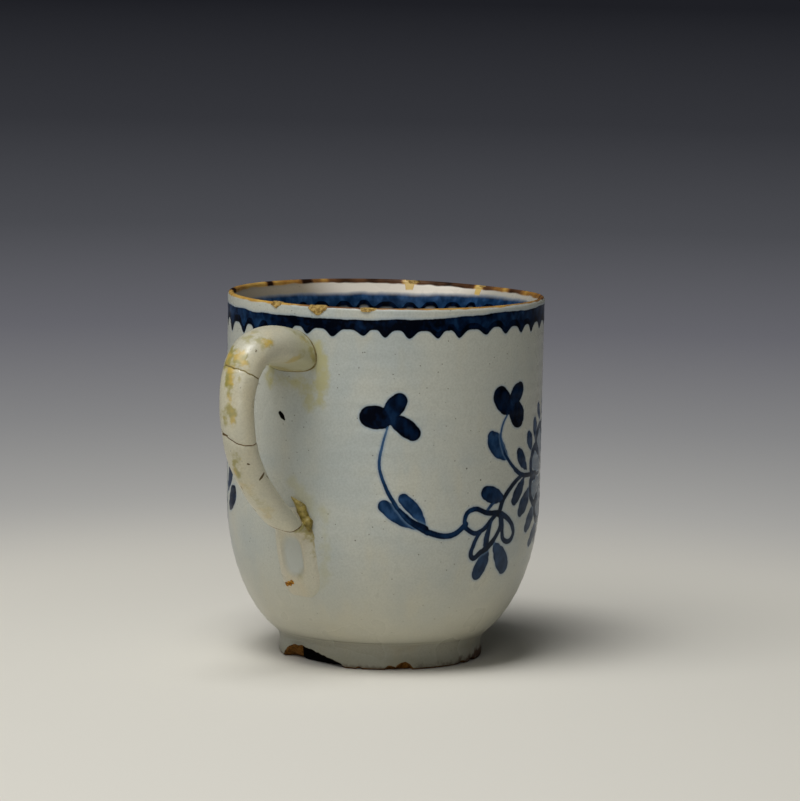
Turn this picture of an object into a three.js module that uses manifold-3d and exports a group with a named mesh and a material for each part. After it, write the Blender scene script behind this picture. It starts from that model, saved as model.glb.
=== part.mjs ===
import * as THREE from 'three';
import { mergeVertices } from 'three/addons/utils/BufferGeometryUtils.js';
import Module from 'manifold-3d';

const wasm = await Module();
wasm.setup();

// A small tin-glazed coffee cup. Its loop handle was broken into fragments and glued together again.
// Millimetres, +Z up, standing on Z = 0. The handle points towards -X, and every bearing is counted in
// degrees from +X, anticlockwise from above.

// Bowl
const rimDiameter = 58;
const cupHeight = 66.4;
const wallThickness = 2.5;
const lipThickness = 1.9;
const lipDepth = 9;
const wallTaper = 0.22;
const shoulderHeight = 30;
const shoulderPull = 12.3;
const baseOverhang = 0.3;
const basePull = 6.6;
const baseSlopeDegrees = 33;
const floorThickness = 3;

// Foot ring
const footDiameter = 37;
const footHeight = 4.2;
const footWidth = 3.2;
const footEdgeRadius = 0.5;
const footFlare = 0.15;

// Handle centreline, in the upright plane through the cup's axis. The root counts down from the rim.
const rootBelowRim = 10.1;
const rootRise = 8;
const handleReach = 16;
const backBelowRoot = 8.3;
const lowerBendPull = 9.65;
const landingHeight = 26.8;
const landingStandoff = 1.9;
const landingPull = 9.3;
const landingSlopeDegrees = 38;
const stubLength = 6;
const handleLeanDegrees = 2.7;

// Handle sections, all half sizes
const rootHalfWidth = 5.3;
const rootHalfDepth = 3.6;
const backHalfWidth = 3.2;
const backHalfDepth = 2.1;
const stubHalfWidth = 2.9;
const stubHalfDepth = 2;
const sectionDome = 0.25;
const outerSquareness = 2;
const innerSquareness = 2.8;

// Tail of the handle, pressed on to the wall with the thumb. Rises and drops count from the landing.
const tailRise = 3.2;
const tailDrop = 12.8;
const tailHalfWidth = 4.1;
const tailEndLength = 3;
const tailEndWidth = 0.45;
const tailEndSquareness = 2.6;
const tailHalfDepth = 1.6;
const tailLift = 0.1;
const hollowDrop = 5.4;
const hollowHalfWidth = 2.1;
const hollowHalfHeight = 4.3;
const hollowDepth = 1.1;
const hollowShift = -0.3;

// Breaks and adhesive, with places counted along the centreline from its outermost point or the landing
const adhesiveThickness = 0.25;
const rootAdhesiveThickness = 0.4;
const rootAdhesiveMargin = 0.35;
const seatGap = 0.3;
const upperBreakBeforeBack = 7.6;
const middleBreakAfterBack = 3.9;
const lowerBreakBeforeLanding = 2.1;
const upperBreakTilt = { across: 0, through: 0 };
const middleBreakTilt = { across: -0.3, through: 0.05 };
const lowerBreakTilt = { across: -0.5, through: 0.6 };
const beadRadius = 1.1;
const beadTopRise = 4.2;
const beadMiddleRise = 2.2;
const beadBottomRise = -0.2;
const beadTopShift = -1.5;
const beadMiddleShift = -2.7;
const beadBottomShift = -3.7;
const beadLift = 0.5;

// Chips: places round the cup in degrees, sizes in millimetres
const footChip = { bearing: 164, before: 6.4, after: 9.4, clayLeft: 1.1 };
const footChipBends = { before: 4.5, beforeDrop: 0.3, after: 3.1, afterDrop: 0.5 };
const rimChips = [
  { bearing: 173, halfWidth: 1.1, drop: 0.7, bite: 0.5, side: 'outer' },
  { bearing: 190.4, halfWidth: 1.7, drop: 1.25, bite: 0.8, side: 'outer' },
  { bearing: 208.7, halfWidth: 1.2, drop: 0.7, bite: 0.5, side: 'outer' },
  { bearing: 24.6, halfWidth: 1.5, drop: 0.9, bite: 0.6, side: 'inner' },
  { bearing: 355.3, halfWidth: 1, drop: 0.7, bite: 0.5, side: 'inner' },
];

// Fineness of the facets
const turns = 64;
const curveSteps = 9;
const lipSteps = 4;
const strapSides = 20;
const strapStep = 1.6;
const tailStep = 1;
const beadSteps = 6;
const beadSides = 12;
const scoopSides = 12;
const chipCurveSteps = 5;
const cutMargin = 2;

// Derived sizes
const rimRadius = rimDiameter / 2;
const shoulderRadius = rimRadius - wallTaper;
const footRadius = footDiameter / 2;
const footInnerRadius = footRadius - footWidth;
const baseRadius = footRadius + baseOverhang;
const floorTop = footHeight + floorThickness;
const rootHeight = cupHeight - rootBelowRim;
const backHeight = rootHeight - backBelowRoot;
const lipRadius = lipThickness / 2;
const baseSlope = THREE.MathUtils.degToRad(baseSlopeDegrees);
const landingSlope = THREE.MathUtils.degToRad(landingSlopeDegrees);
const handleLean = THREE.MathUtils.degToRad(handleLeanDegrees);

// Colours
const glaze = new THREE.MeshStandardMaterial({ color: 0xbabcb2, roughness: 0.3, metalness: 0 });
const footGlaze = new THREE.MeshStandardMaterial({ color: 0xa9a99c, roughness: 0.4, metalness: 0 });
const strapGlaze = new THREE.MeshStandardMaterial({ color: 0xd5cfb8, roughness: 0.35, metalness: 0 });
const strapGlazeWorn = new THREE.MeshStandardMaterial({ color: 0xcfc8ad, roughness: 0.45, metalness: 0 });
const tailGlaze = new THREE.MeshStandardMaterial({ color: 0xc6bfae, roughness: 0.35, metalness: 0 });
const adhesive = new THREE.MeshStandardMaterial({ color: 0x6b5a2c, roughness: 0.5, metalness: 0 });
const oldAdhesive = new THREE.MeshStandardMaterial({ color: 0x8a7f3c, roughness: 0.4, metalness: 0 });

// Merges shared corners and drops the empty triangles that a lathe leaves on its axis.
function weld(geometry) {
  const bare = geometry.clone();
  bare.deleteAttribute('normal');
  bare.deleteAttribute('uv');
  const merged = mergeVertices(bare, 1e-4);
  const corners = merged.index.array;
  const kept = [];
  for (let i = 0; i < corners.length; i += 3) {
    const [a, b, c] = [corners[i], corners[i + 1], corners[i + 2]];
    if (a !== b && b !== c && c !== a) {
      kept.push(a, b, c);
    }
  }
  merged.setIndex(kept);
  return merged;
}

function solid(geometry) {
  const closed = weld(geometry);
  const vertProperties = new Float32Array(closed.attributes.position.array);
  const triVerts = new Uint32Array(closed.index.array);
  return new wasm.Manifold(new wasm.Mesh({ numProp: 3, vertProperties, triVerts }));
}

function geometryOf(manifold) {
  const shape = manifold.getMesh();
  const geometry = new THREE.BufferGeometry();
  geometry.setAttribute('position', new THREE.BufferAttribute(shape.vertProperties, 3));
  geometry.setIndex(new THREE.BufferAttribute(shape.triVerts, 1));
  geometry.computeVertexNormals();
  return geometry;
}

function namedMesh(name, geometry, material) {
  const mesh = new THREE.Mesh(geometry, material);
  mesh.name = name;
  return mesh;
}

function bearing(degrees) {
  const angle = THREE.MathUtils.degToRad(degrees);
  const outward = new THREE.Vector3(Math.cos(angle), Math.sin(angle), 0);
  const along = new THREE.Vector3(-Math.sin(angle), Math.cos(angle), 0);
  return { outward, along };
}

const up = new THREE.Vector3(0, 0, 1);

// Turned shapes: profiles are points of radius and height
function turned(profile) {
  const geometry = new THREE.LatheGeometry(profile, turns);
  geometry.rotateX(Math.PI / 2);
  return solid(geometry);
}

// The lower wall, from the foot up to the shoulder
const baseCurve = new THREE.CubicBezierCurve(
  new THREE.Vector2(baseRadius, footHeight),
  new THREE.Vector2(baseRadius + basePull * Math.cos(baseSlope), footHeight + basePull * Math.sin(baseSlope)),
  new THREE.Vector2(shoulderRadius, shoulderHeight - shoulderPull),
  new THREE.Vector2(shoulderRadius, shoulderHeight),
);

// Points of the lower wall, moved outwards by a distance at right angles to it
function baseCurvePoints(distance) {
  const points = [];
  for (let i = 0; i <= curveSteps; i += 1) {
    const t = i / curveSteps;
    const point = baseCurve.getPoint(t);
    const tangent = baseCurve.getTangent(t);
    points.push(new THREE.Vector2(point.x + tangent.y * distance, point.y - tangent.x * distance));
  }
  return points;
}

// Radius of the outer wall at a height
function wallRadius(height) {
  if (height >= shoulderHeight) {
    const rise = (height - shoulderHeight) / (cupHeight - shoulderHeight);
    return shoulderRadius + wallTaper * rise;
  }
  const points = baseCurvePoints(0);
  const above = Math.max(1, points.findIndex((point) => point.y >= height));
  const low = points[above - 1];
  const high = points[above];
  const share = (height - low.y) / (high.y - low.y);
  return THREE.MathUtils.lerp(low.x, high.x, share);
}

function lipPoints() {
  const points = [];
  for (let i = 0; i <= lipSteps; i += 1) {
    const angle = (Math.PI * i) / lipSteps;
    points.push(new THREE.Vector2(
      rimRadius - lipRadius + lipRadius * Math.cos(angle),
      cupHeight - lipRadius + lipRadius * Math.sin(angle),
    ));
  }
  return points;
}

// What the handle's pieces are cut back to: the bowl, grown by a distance
function bowlEnvelope(distance) {
  const wall = baseCurvePoints(distance);
  const top = new THREE.Vector2(rimRadius + distance, cupHeight + distance);
  const bottom = wall[0].y;
  return turned([new THREE.Vector2(0, bottom), ...wall, top, new THREE.Vector2(0, top.y)]);
}

function rimChipCut(chip) {
  const { outward, along } = bearing(chip.bearing);
  const edgeRadius = chip.side === 'outer' ? rimRadius : rimRadius - lipThickness;
  const place = outward.clone().multiplyScalar(edgeRadius).addScaledVector(up, cupHeight);
  const scoop = new THREE.SphereGeometry(1, scoopSides, scoopSides / 2);
  scoop.scale(chip.halfWidth, chip.bite, chip.drop);
  scoop.applyMatrix4(new THREE.Matrix4().makeBasis(along, outward.clone().negate(), up).setPosition(place));
  return solid(scoop);
}

function makeBowl() {
  const outer = baseCurvePoints(0);
  const inner = baseCurvePoints(-wallThickness).filter((point) => point.y > floorTop).reverse();
  const floorEdge = inner[inner.length - 1].x - (inner[inner.length - 1].y - floorTop);
  const profile = [
    new THREE.Vector2(0, footHeight),
    ...outer,
    ...lipPoints(),
    new THREE.Vector2(shoulderRadius - wallThickness, cupHeight - lipDepth),
    ...inner,
    new THREE.Vector2(floorEdge, floorTop),
    new THREE.Vector2(0, floorTop),
  ];
  let bowl = turned(profile);
  for (const chip of rimChips) {
    bowl = bowl.subtract(rimChipCut(chip));
  }
  return geometryOf(bowl);
}

// The missing piece of the foot ring, steep on one side and long on the other
function footChipCut() {
  const { outward, along } = bearing(footChip.bearing);
  const height = footHeight - footChip.clayLeft;
  const outline = new THREE.Shape();
  outline.moveTo(-footChip.before, -cutMargin);
  outline.lineTo(footChip.after, -cutMargin);
  outline.lineTo(footChip.after, 0);
  outline.quadraticCurveTo(footChipBends.after, height - footChipBends.afterDrop, 0, height);
  outline.quadraticCurveTo(-footChipBends.before, height - footChipBends.beforeDrop, -footChip.before, 0);
  const depth = footWidth + 2 * cutMargin;
  const options = { depth, bevelEnabled: false, curveSegments: chipCurveSteps };
  const wedge = new THREE.ExtrudeGeometry(outline, options);
  const place = outward.clone().multiplyScalar(footInnerRadius - cutMargin);
  wedge.applyMatrix4(new THREE.Matrix4().makeBasis(along, up, outward).setPosition(place));
  return solid(wedge);
}

function makeFootRing() {
  const outerFoot = footRadius + footFlare;
  const profile = [
    new THREE.Vector2(footInnerRadius, footHeight),
    new THREE.Vector2(footInnerRadius, footEdgeRadius),
    new THREE.Vector2(footInnerRadius + footEdgeRadius, 0),
    new THREE.Vector2(outerFoot - footEdgeRadius, 0),
    new THREE.Vector2(outerFoot, footEdgeRadius),
    new THREE.Vector2(footRadius, footHeight),
    new THREE.Vector2(footInnerRadius, footHeight),
  ];
  return geometryOf(turned(profile).subtract(footChipCut()));
}

// Handle. Its centreline is drawn as distance from the axis and height, then leans over sideways.
const backDistance = rimRadius + handleReach;
const landingDistance = wallRadius(landingHeight) + landingStandoff;
const centreline = new THREE.CurvePath();
centreline.add(new THREE.QuadraticBezierCurve(
  new THREE.Vector2(wallRadius(rootHeight) - cutMargin, rootHeight),
  new THREE.Vector2(backDistance, rootHeight + rootRise),
  new THREE.Vector2(backDistance, backHeight),
));
centreline.add(new THREE.CubicBezierCurve(
  new THREE.Vector2(backDistance, backHeight),
  new THREE.Vector2(backDistance, backHeight - lowerBendPull),
  new THREE.Vector2(
    landingDistance + landingPull * Math.cos(landingSlope),
    landingHeight + landingPull * Math.sin(landingSlope),
  ),
  new THREE.Vector2(landingDistance, landingHeight),
));
centreline.add(new THREE.LineCurve(
  new THREE.Vector2(landingDistance, landingHeight),
  new THREE.Vector2(
    landingDistance - stubLength * Math.cos(landingSlope),
    landingHeight - stubLength * Math.sin(landingSlope),
  ),
));
const [archLength, lowerLength] = centreline.curves.map((curve) => curve.getLength());
const centrelineLength = centreline.getLength();

// Puts a point of the handle's plane, with a distance to one side of it, in its place in space.
function handlePoint(distance, height, sideways) {
  const drop = height - rootHeight;
  const across = sideways * Math.cos(handleLean) + drop * Math.sin(handleLean);
  const rise = drop * Math.cos(handleLean) - sideways * Math.sin(handleLean);
  return new THREE.Vector3(-distance, across, rootHeight + rise);
}

function strapSection(station) {
  const upper = THREE.MathUtils.smoothstep(station, 0, archLength);
  const lower = THREE.MathUtils.smoothstep(station, archLength, archLength + lowerLength);
  const halfWidth = THREE.MathUtils.lerp(rootHalfWidth, backHalfWidth, upper);
  const halfDepth = THREE.MathUtils.lerp(rootHalfDepth, backHalfDepth, upper);
  return {
    halfWidth: THREE.MathUtils.lerp(halfWidth, stubHalfWidth, lower),
    halfDepth: THREE.MathUtils.lerp(halfDepth, stubHalfDepth, lower),
  };
}

// The section has a domed outer face and a flatter inner face. Cosine and sine turn once round it.
function sectionPoint(cosine, sine, halfWidth, halfDepth) {
  const outside = sine > 0;
  const power = 2 / (outside ? outerSquareness : innerSquareness);
  const depth = outside ? halfDepth * (1 + sectionDome) : halfDepth * (1 - sectionDome);
  return {
    across: Math.sign(cosine) * Math.abs(cosine) ** power * halfWidth,
    through: Math.sign(sine) * Math.abs(sine) ** power * depth,
  };
}

// Bends a cylinder along a path: place(station, across, through) gives a point beside the path.
function bentBar(from, to, step, section, startTilt, endTilt, place) {
  const steps = Math.max(1, Math.round((to - from) / step));
  const geometry = new THREE.CylinderGeometry(1, 1, 1, strapSides, steps);
  const position = geometry.attributes.position;
  for (let i = 0; i < position.count; i += 1) {
    const share = 0.5 - position.getY(i);
    const plain = THREE.MathUtils.lerp(from, to, share);
    const { halfWidth, halfDepth } = section(plain);
    const { across, through } = sectionPoint(-position.getX(i), position.getZ(i), halfWidth, halfDepth);
    const startShift = startTilt.across * across + startTilt.through * through;
    const endShift = endTilt.across * across + endTilt.through * through;
    const station = plain + THREE.MathUtils.lerp(startShift, endShift, share);
    const point = place(station, across, through);
    position.setXYZ(i, point.x, point.y, point.z);
  }
  return solid(geometry);
}

function besideCentreline(station, across, through) {
  const share = THREE.MathUtils.clamp(station / centrelineLength, 0, 1);
  const point = centreline.getPoint(share);
  const tangent = centreline.getTangent(share);
  const distance = point.x - tangent.y * through;
  const height = point.y + tangent.x * through;
  return handlePoint(distance, height, across);
}

const square = { across: 0, through: 0 };

// A stretch of the handle between two stations, grown all round by a margin
function strap(from, to, startTilt = square, endTilt = square, margin = 0) {
  const section = (station) => {
    const { halfWidth, halfDepth } = strapSection(station);
    return { halfWidth: halfWidth + margin, halfDepth: halfDepth + margin };
  };
  return bentBar(from, to, strapStep, section, startTilt, endTilt, besideCentreline);
}

// The tail runs down the wall past the landing and ends round.
const tailTop = landingHeight + tailRise;
const tailBottom = landingHeight - tailDrop;
const tailLine = new THREE.CatmullRomCurve3(
  [tailTop, (tailTop + tailBottom) / 2, tailBottom].map((height) => (
    new THREE.Vector3(wallRadius(height) + tailLift, height, 0)
  )),
);
const tailLength = tailLine.getLength();

function besideTail(station, across, through) {
  const share = THREE.MathUtils.clamp(station / tailLength, 0, 1);
  const point = tailLine.getPointAt(share);
  const tangent = tailLine.getTangentAt(share);
  return handlePoint(point.x - tangent.y * through, point.y + tangent.x * through, across);
}

function tailPad(margin) {
  const section = (station) => {
    const fromEnd = Math.min(station, tailLength - station);
    const ease = THREE.MathUtils.clamp(fromEnd / tailEndLength, 0, 1);
    const round = (1 - (1 - ease) ** tailEndSquareness) ** (1 / tailEndSquareness);
    const width = THREE.MathUtils.lerp(tailEndWidth, 1, round);
    return { halfWidth: tailHalfWidth * width + margin, halfDepth: tailHalfDepth + margin };
  };
  return bentBar(0, tailLength, tailStep, section, square, square, besideTail);
}

function thumbHollow() {
  const scoop = new THREE.SphereGeometry(1, scoopSides, scoopSides);
  scoop.scale(hollowDepth, hollowHalfWidth, hollowHalfHeight);
  const hollowHeight = landingHeight - hollowDrop;
  const low = wallRadius(hollowHeight - hollowHalfHeight);
  const high = wallRadius(hollowHeight + hollowHalfHeight);
  scoop.rotateY(-Math.atan2(high - low, 2 * hollowHalfHeight));
  const place = handlePoint(wallRadius(hollowHeight) + tailHalfDepth, hollowHeight, hollowShift);
  scoop.translate(place.x, place.y, place.z);
  return solid(scoop);
}

// Stations of the breaks, each a thin slice of adhesive
const upperBreakAt = archLength - upperBreakBeforeBack;
const middleBreakAt = archLength + middleBreakAfterBack;
const lowerBreakAt = archLength + lowerLength - lowerBreakBeforeLanding;
const upperBreakEnd = upperBreakAt + adhesiveThickness;
const middleBreakEnd = middleBreakAt + adhesiveThickness;
const lowerBreakEnd = lowerBreakAt + adhesiveThickness;
const rootSeat = bowlEnvelope(seatGap);
const archSeat = bowlEnvelope(seatGap + rootAdhesiveThickness);

function makeArchFragment() {
  return geometryOf(strap(0, upperBreakAt, square, upperBreakTilt).subtract(archSeat));
}

function makeRootAdhesive() {
  const reach = 3 * cutMargin + rootAdhesiveThickness;
  const pad = strap(0, reach, square, square, rootAdhesiveMargin);
  return geometryOf(pad.intersect(archSeat).subtract(rootSeat));
}

function makeBackFragment() {
  return geometryOf(strap(upperBreakEnd, middleBreakAt, upperBreakTilt, middleBreakTilt));
}

function makeLowerFragment() {
  return geometryOf(strap(middleBreakEnd, lowerBreakAt, middleBreakTilt, lowerBreakTilt));
}

function makeBreakAdhesive(station, tilt) {
  return geometryOf(strap(station, station + adhesiveThickness, tilt, tilt));
}

// Space kept free round the lower fragment and its adhesive
const lowerFragmentSpace = strap(middleBreakEnd, lowerBreakEnd, middleBreakTilt, lowerBreakTilt, seatGap);

function terminalBody(margin) {
  const stub = strap(lowerBreakEnd, centrelineLength, lowerBreakTilt, square, margin);
  return stub.add(tailPad(margin).subtract(lowerFragmentSpace));
}

function makeLowerTerminal() {
  return geometryOf(terminalBody(0).subtract(rootSeat).subtract(thumbHollow()));
}

// Bead of old adhesive in the corner between the lower fragment, its stub and the wall
function makeTerminalFill() {
  const beadPoint = (rise, shift) => {
    const height = landingHeight + rise;
    return handlePoint(wallRadius(height) + beadLift, height, shift);
  };
  const beadLine = new THREE.CatmullRomCurve3([
    beadPoint(beadTopRise, beadTopShift),
    beadPoint(beadMiddleRise, beadMiddleShift),
    beadPoint(beadBottomRise, beadBottomShift),
  ]);
  const round = new THREE.Shape().absarc(0, 0, beadRadius, 0, 2 * Math.PI);
  const options = { steps: beadSteps, curveSegments: beadSides / 2, extrudePath: beadLine };
  const bead = new THREE.ExtrudeGeometry(round, options);
  const clear = solid(bead).subtract(rootSeat).subtract(lowerFragmentSpace);
  return geometryOf(clear.subtract(terminalBody(seatGap)));
}

const cup = new THREE.Group();
cup.add(namedMesh('bowl', makeBowl(), glaze));
cup.add(namedMesh('foot_ring', makeFootRing(), footGlaze));
cup.add(namedMesh('upper_terminal_glue', makeRootAdhesive(), oldAdhesive));
cup.add(namedMesh('handle_arch_fragment', makeArchFragment(), strapGlazeWorn));
cup.add(namedMesh('upper_crack_glue', makeBreakAdhesive(upperBreakAt, upperBreakTilt), adhesive));
cup.add(namedMesh('handle_back_fragment', makeBackFragment(), strapGlaze));
cup.add(namedMesh('middle_crack_glue', makeBreakAdhesive(middleBreakAt, middleBreakTilt), adhesive));
cup.add(namedMesh('handle_lower_fragment', makeLowerFragment(), strapGlaze));
cup.add(namedMesh('lower_crack_glue', makeBreakAdhesive(lowerBreakAt, lowerBreakTilt), adhesive));
cup.add(namedMesh('lower_terminal', makeLowerTerminal(), tailGlaze));
cup.add(namedMesh('lower_terminal_fill', makeTerminalFill(), oldAdhesive));

// The origin lies on the table under the middle of the cup's whole length, handle included.
const extent = new THREE.Box3().setFromObject(cup);
cup.position.x = -(extent.min.x + extent.max.x) / 2;

export default cup;
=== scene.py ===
"""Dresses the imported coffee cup: tin glaze, blue painting, brown lip, chips and the mended handle.

Lengths are millimetres, counted from the cup's own axis and from the table. The handle points towards
-X and bearings are degrees from +X, anticlockwise from above. A finished piece is scaled to metres and
moved to its place in the frame.
"""

import logging
from collections.abc import Sequence
from dataclasses import dataclass, field, replace
from enum import Enum
from math import cos, pi, radians, sin, tan

import bmesh
import bpy
import numpy as np
from bmesh.types import BMesh, BMVert
from bpy.types import ID, Material, Mesh, Node, NodeSocket, NodeTree, Object, World
from mathutils import Matrix, Vector, noise


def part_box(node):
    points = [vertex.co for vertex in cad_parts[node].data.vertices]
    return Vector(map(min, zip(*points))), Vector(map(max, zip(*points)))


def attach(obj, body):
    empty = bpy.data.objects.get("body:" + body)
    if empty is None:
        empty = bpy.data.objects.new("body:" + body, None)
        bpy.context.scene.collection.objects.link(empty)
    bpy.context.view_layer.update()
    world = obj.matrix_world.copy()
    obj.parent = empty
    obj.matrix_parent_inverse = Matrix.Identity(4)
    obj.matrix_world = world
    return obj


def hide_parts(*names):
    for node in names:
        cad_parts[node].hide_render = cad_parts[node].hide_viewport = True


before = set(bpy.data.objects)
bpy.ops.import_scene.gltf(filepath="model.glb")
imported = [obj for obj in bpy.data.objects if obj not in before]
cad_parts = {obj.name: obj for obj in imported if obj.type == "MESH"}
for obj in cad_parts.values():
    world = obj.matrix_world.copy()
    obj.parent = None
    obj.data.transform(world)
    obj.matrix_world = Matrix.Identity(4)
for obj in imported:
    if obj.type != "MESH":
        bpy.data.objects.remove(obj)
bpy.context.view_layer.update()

METRES = 0.001
HANDLE_BEARING = 180.0
FULL_TURN = 360.0
log = logging.getLogger("cup")

Colour = tuple[int, int, int]
Point2 = tuple[float, float]
Array = np.ndarray
Socket = NodeSocket
Source = Socket | float | tuple[float, ...]


def linear(colour: Colour) -> tuple[float, float, float, float]:
    """Turns a colour of 0 to 255 into the linear one that a shader takes."""
    steps = [channel / 255 for channel in colour]
    return (*[s / 12.92 if s <= 0.04045 else ((s + 0.055) / 1.055) ** 2.4 for s in steps], 1.0)


def smoothstep(value: Array, low: float, high: float) -> Array:
    """Rises smoothly from 0 at low to 1 at high."""
    share = np.clip((value - low) / (high - low), 0.0, 1.0)
    return share * share * (3.0 - 2.0 * share)


def lerp(start: Array, end: Array, share: Array) -> Array:
    """Goes straight from start to end."""
    return start + (end - start) * share


def bezier(points: Sequence[Point2], share: Array) -> Array:
    """Gives points of a Bezier curve.

    Args:
        points: Its control points.
        share: How far along each wanted point is, from 0 to 1.

    Returns:
        One row of two coordinates for each share.
    """
    level = [np.tile(np.array(point, float), (len(share), 1)) for point in points]
    while len(level) > 1:
        level = [lerp(a, b, share[:, None]) for a, b in zip(level, level[1:])]
    return level[0]


def lengths_along(points: Array) -> Array:
    """Gives the distance of each point from the first one, along the line."""
    steps = np.linalg.norm(np.diff(points, axis=0), axis=1)
    return np.concatenate([[0.0], np.cumsum(steps)])


def eased(values: Sequence[float], share: Array) -> Array:
    """Goes smoothly through values that are spaced evenly from share 0 to share 1."""
    given = np.array(values, float)
    place = share * (len(given) - 1)
    start = np.clip(place.astype(int), 0, len(given) - 2)
    rest = place - start
    return lerp(given[start], given[start + 1], rest * rest * (3.0 - 2.0 * rest))


def smooth_noise(points: Array, grain: float, seed: int) -> Array:
    """Gives smooth noise from about -1 to 1.

    Args:
        points: Rows of three coordinates in millimetres.
        grain: Size of its lumps in millimetres.
        seed: Another number gives other noise.

    Returns:
        One value for each point.
    """
    shift = Vector((seed * 17.3, seed * 5.1, seed * 9.7))
    return np.array([noise.noise(Vector(point) / grain + shift) for point in points])


@dataclass(frozen=True)
class CupSizes:
    """Sizes of the thrown cup. The first five come from the frame."""

    axis_x: float
    rim_radius: float
    height: float
    foot_radius: float
    foot_height: float
    wall: float = 2.5
    lip: float = 1.3
    lip_depth: float = 3.8
    wall_taper: float = 0.22
    shoulder_height: float = 30.0
    shoulder_pull: float = 12.3
    base_overhang: float = 0.3
    base_pull: float = 6.6
    base_slope: float = 33.0
    floor_thickness: float = 3.0
    foot_width: float = 3.2
    foot_flare: float = 0.15
    foot_edge: float = 0.5

    @classmethod
    def from_frame(cls) -> "CupSizes":
        """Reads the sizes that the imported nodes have."""
        low, high = (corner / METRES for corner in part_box("bowl"))
        foot_low, foot_high = (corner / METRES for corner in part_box("foot_ring"))
        return cls(
            axis_x=(low.x + high.x) / 2,
            rim_radius=(high.y - low.y) / 2,
            height=high.z,
            foot_radius=(foot_high.y - foot_low.y) / 2 - cls.foot_flare,
            foot_height=low.z,
        )

    @property
    def shoulder_radius(self) -> float:
        """Radius where the wall starts to curve in."""
        return self.rim_radius - self.wall_taper

    def lower_wall(self, steps: int = 80) -> Array:
        """Gives the outline of the lower wall as rows of radius and height, from the foot up."""
        slope = radians(self.base_slope)
        base = (self.foot_radius + self.base_overhang, self.foot_height)
        pulled = (base[0] + self.base_pull * cos(slope), base[1] + self.base_pull * sin(slope))
        shoulder = (self.shoulder_radius, self.shoulder_height)
        below = (shoulder[0], shoulder[1] - self.shoulder_pull)
        return bezier([base, pulled, below, shoulder], np.linspace(0, 1, steps))

    def wall_radius(self, height: Array) -> Array:
        """Gives the radius of the outer wall at a height."""
        curve = self.lower_wall()
        rise = (np.asarray(height, float) - self.shoulder_height) / (self.height - self.shoulder_height)
        straight = self.shoulder_radius + self.wall_taper * np.clip(rise, 0, 1)
        return np.where(rise > 0, straight, np.interp(height, curve[:, 1], curve[:, 0]))


class PaintLayer(Enum):
    """The coats on the wall, in the order in which they went on."""

    WASH = "wash"
    LINE = "line"
    STAIN = "stain"
    BLEMISH = "blemish"


@dataclass(frozen=True)
class BrushMark:
    """One touch of the brush, on a surface rolled out flat.

    Attributes:
        points: Places that the middle of the brush passes.
        widths: Widths of the mark, evenly spaced from its start to its end.
        loads: How much paint it leaves, from 0 to 1, evenly spaced likewise.
        layer: The coat that it belongs to.
    """

    points: tuple[Point2, ...]
    widths: tuple[float, ...]
    loads: tuple[float, ...] = (0.85, 0.85)
    layer: PaintLayer = PaintLayer.LINE

    def dabs(self, spacing: float = 0.12) -> tuple[Array, Array, Array]:
        """Gives the mark as overlapping round dabs: their centres, radii and loads."""
        path = rounded_path(self.points)
        along = lengths_along(path)
        count = max(3, int(along[-1] / spacing))
        share = np.linspace(0, 1, count)
        centres = np.stack([np.interp(share * along[-1], along, path[:, i]) for i in (0, 1)], axis=1)
        return centres, eased(self.widths, share) / 2, eased(self.loads, share)

    def mirrored(self, about: float) -> "BrushMark":
        """The same mark, seen in a mirror that stands upright at a distance round the wall."""
        return replace(self, points=tuple((2 * about - x, y) for x, y in self.points))


def rounded_path(points: Sequence[Point2], steps: int = 10) -> Array:
    """Gives a smooth line through points, as a Catmull-Rom curve."""
    given = np.array(points, float)
    if len(given) == 2:
        return lerp(given[0], given[1], np.linspace(0, 1, steps)[:, None])
    padded = np.vstack([2 * given[0] - given[1], given, 2 * given[-1] - given[-2]])
    share = np.linspace(0, 1, steps, endpoint=False)[:, None]
    pieces = []
    for a, b, c, d in zip(padded, padded[1:], padded[2:], padded[3:]):
        bend = 2 * b + (c - a) * share + (2 * a - 5 * b + 4 * c - d) * share**2
        pieces.append(0.5 * (bend + (3 * b - a - 3 * c + d) * share**3))
    return np.vstack([*pieces, given[-1:]])


def petal(base: Point2, tip: Point2, width: float, load: float = 0.95, bend: float = 0.0,
          blunt: float = 0.86) -> BrushMark:
    """Gives a petal or leaf pressed with a full brush, narrow at its base and round at its tip.

    Args:
        base: The narrow end.
        tip: The round end, on its outline.
        width: Greatest width.
        load: How much paint it holds.
        bend: How far its middle leans to the left of the way from base to tip.
        blunt: Width of its tip as a share of its greatest width.

    Returns:
        The mark.
    """
    start, end = np.array(base, float), np.array(tip, float)
    way = (end - start) / np.linalg.norm(end - start)
    side = np.array([-way[1], way[0]])
    last = end - way * width * blunt / 2
    middle = (start + last) / 2 + side * bend
    points = tuple((float(x), float(y)) for x, y in (start, middle, last))
    layer = PaintLayer.LINE if load > 0.8 else PaintLayer.WASH
    widths = tuple(width * share for share in (0.22, 0.62, 0.92, 1.0, blunt))
    return BrushMark(points, widths, (load * 0.9, load * 0.96, load), layer)


def stem(points: Sequence[Point2], start: float, end: float, loads: Point2 = (0.85, 0.85)) -> BrushMark:
    """Gives a long thin line whose width goes evenly from start to end."""
    return BrushMark(tuple(points), (start, (start + end) / 2, end), loads)


def stroke(row: tuple | BrushMark) -> BrushMark:
    """Makes a leaf from a row of plain numbers, or a stem from a row that starts with its points."""
    if isinstance(row, BrushMark):
        return row
    return petal(row[:2], row[2:4], *row[4:]) if isinstance(row[0], float) else stem(*row)


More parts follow.
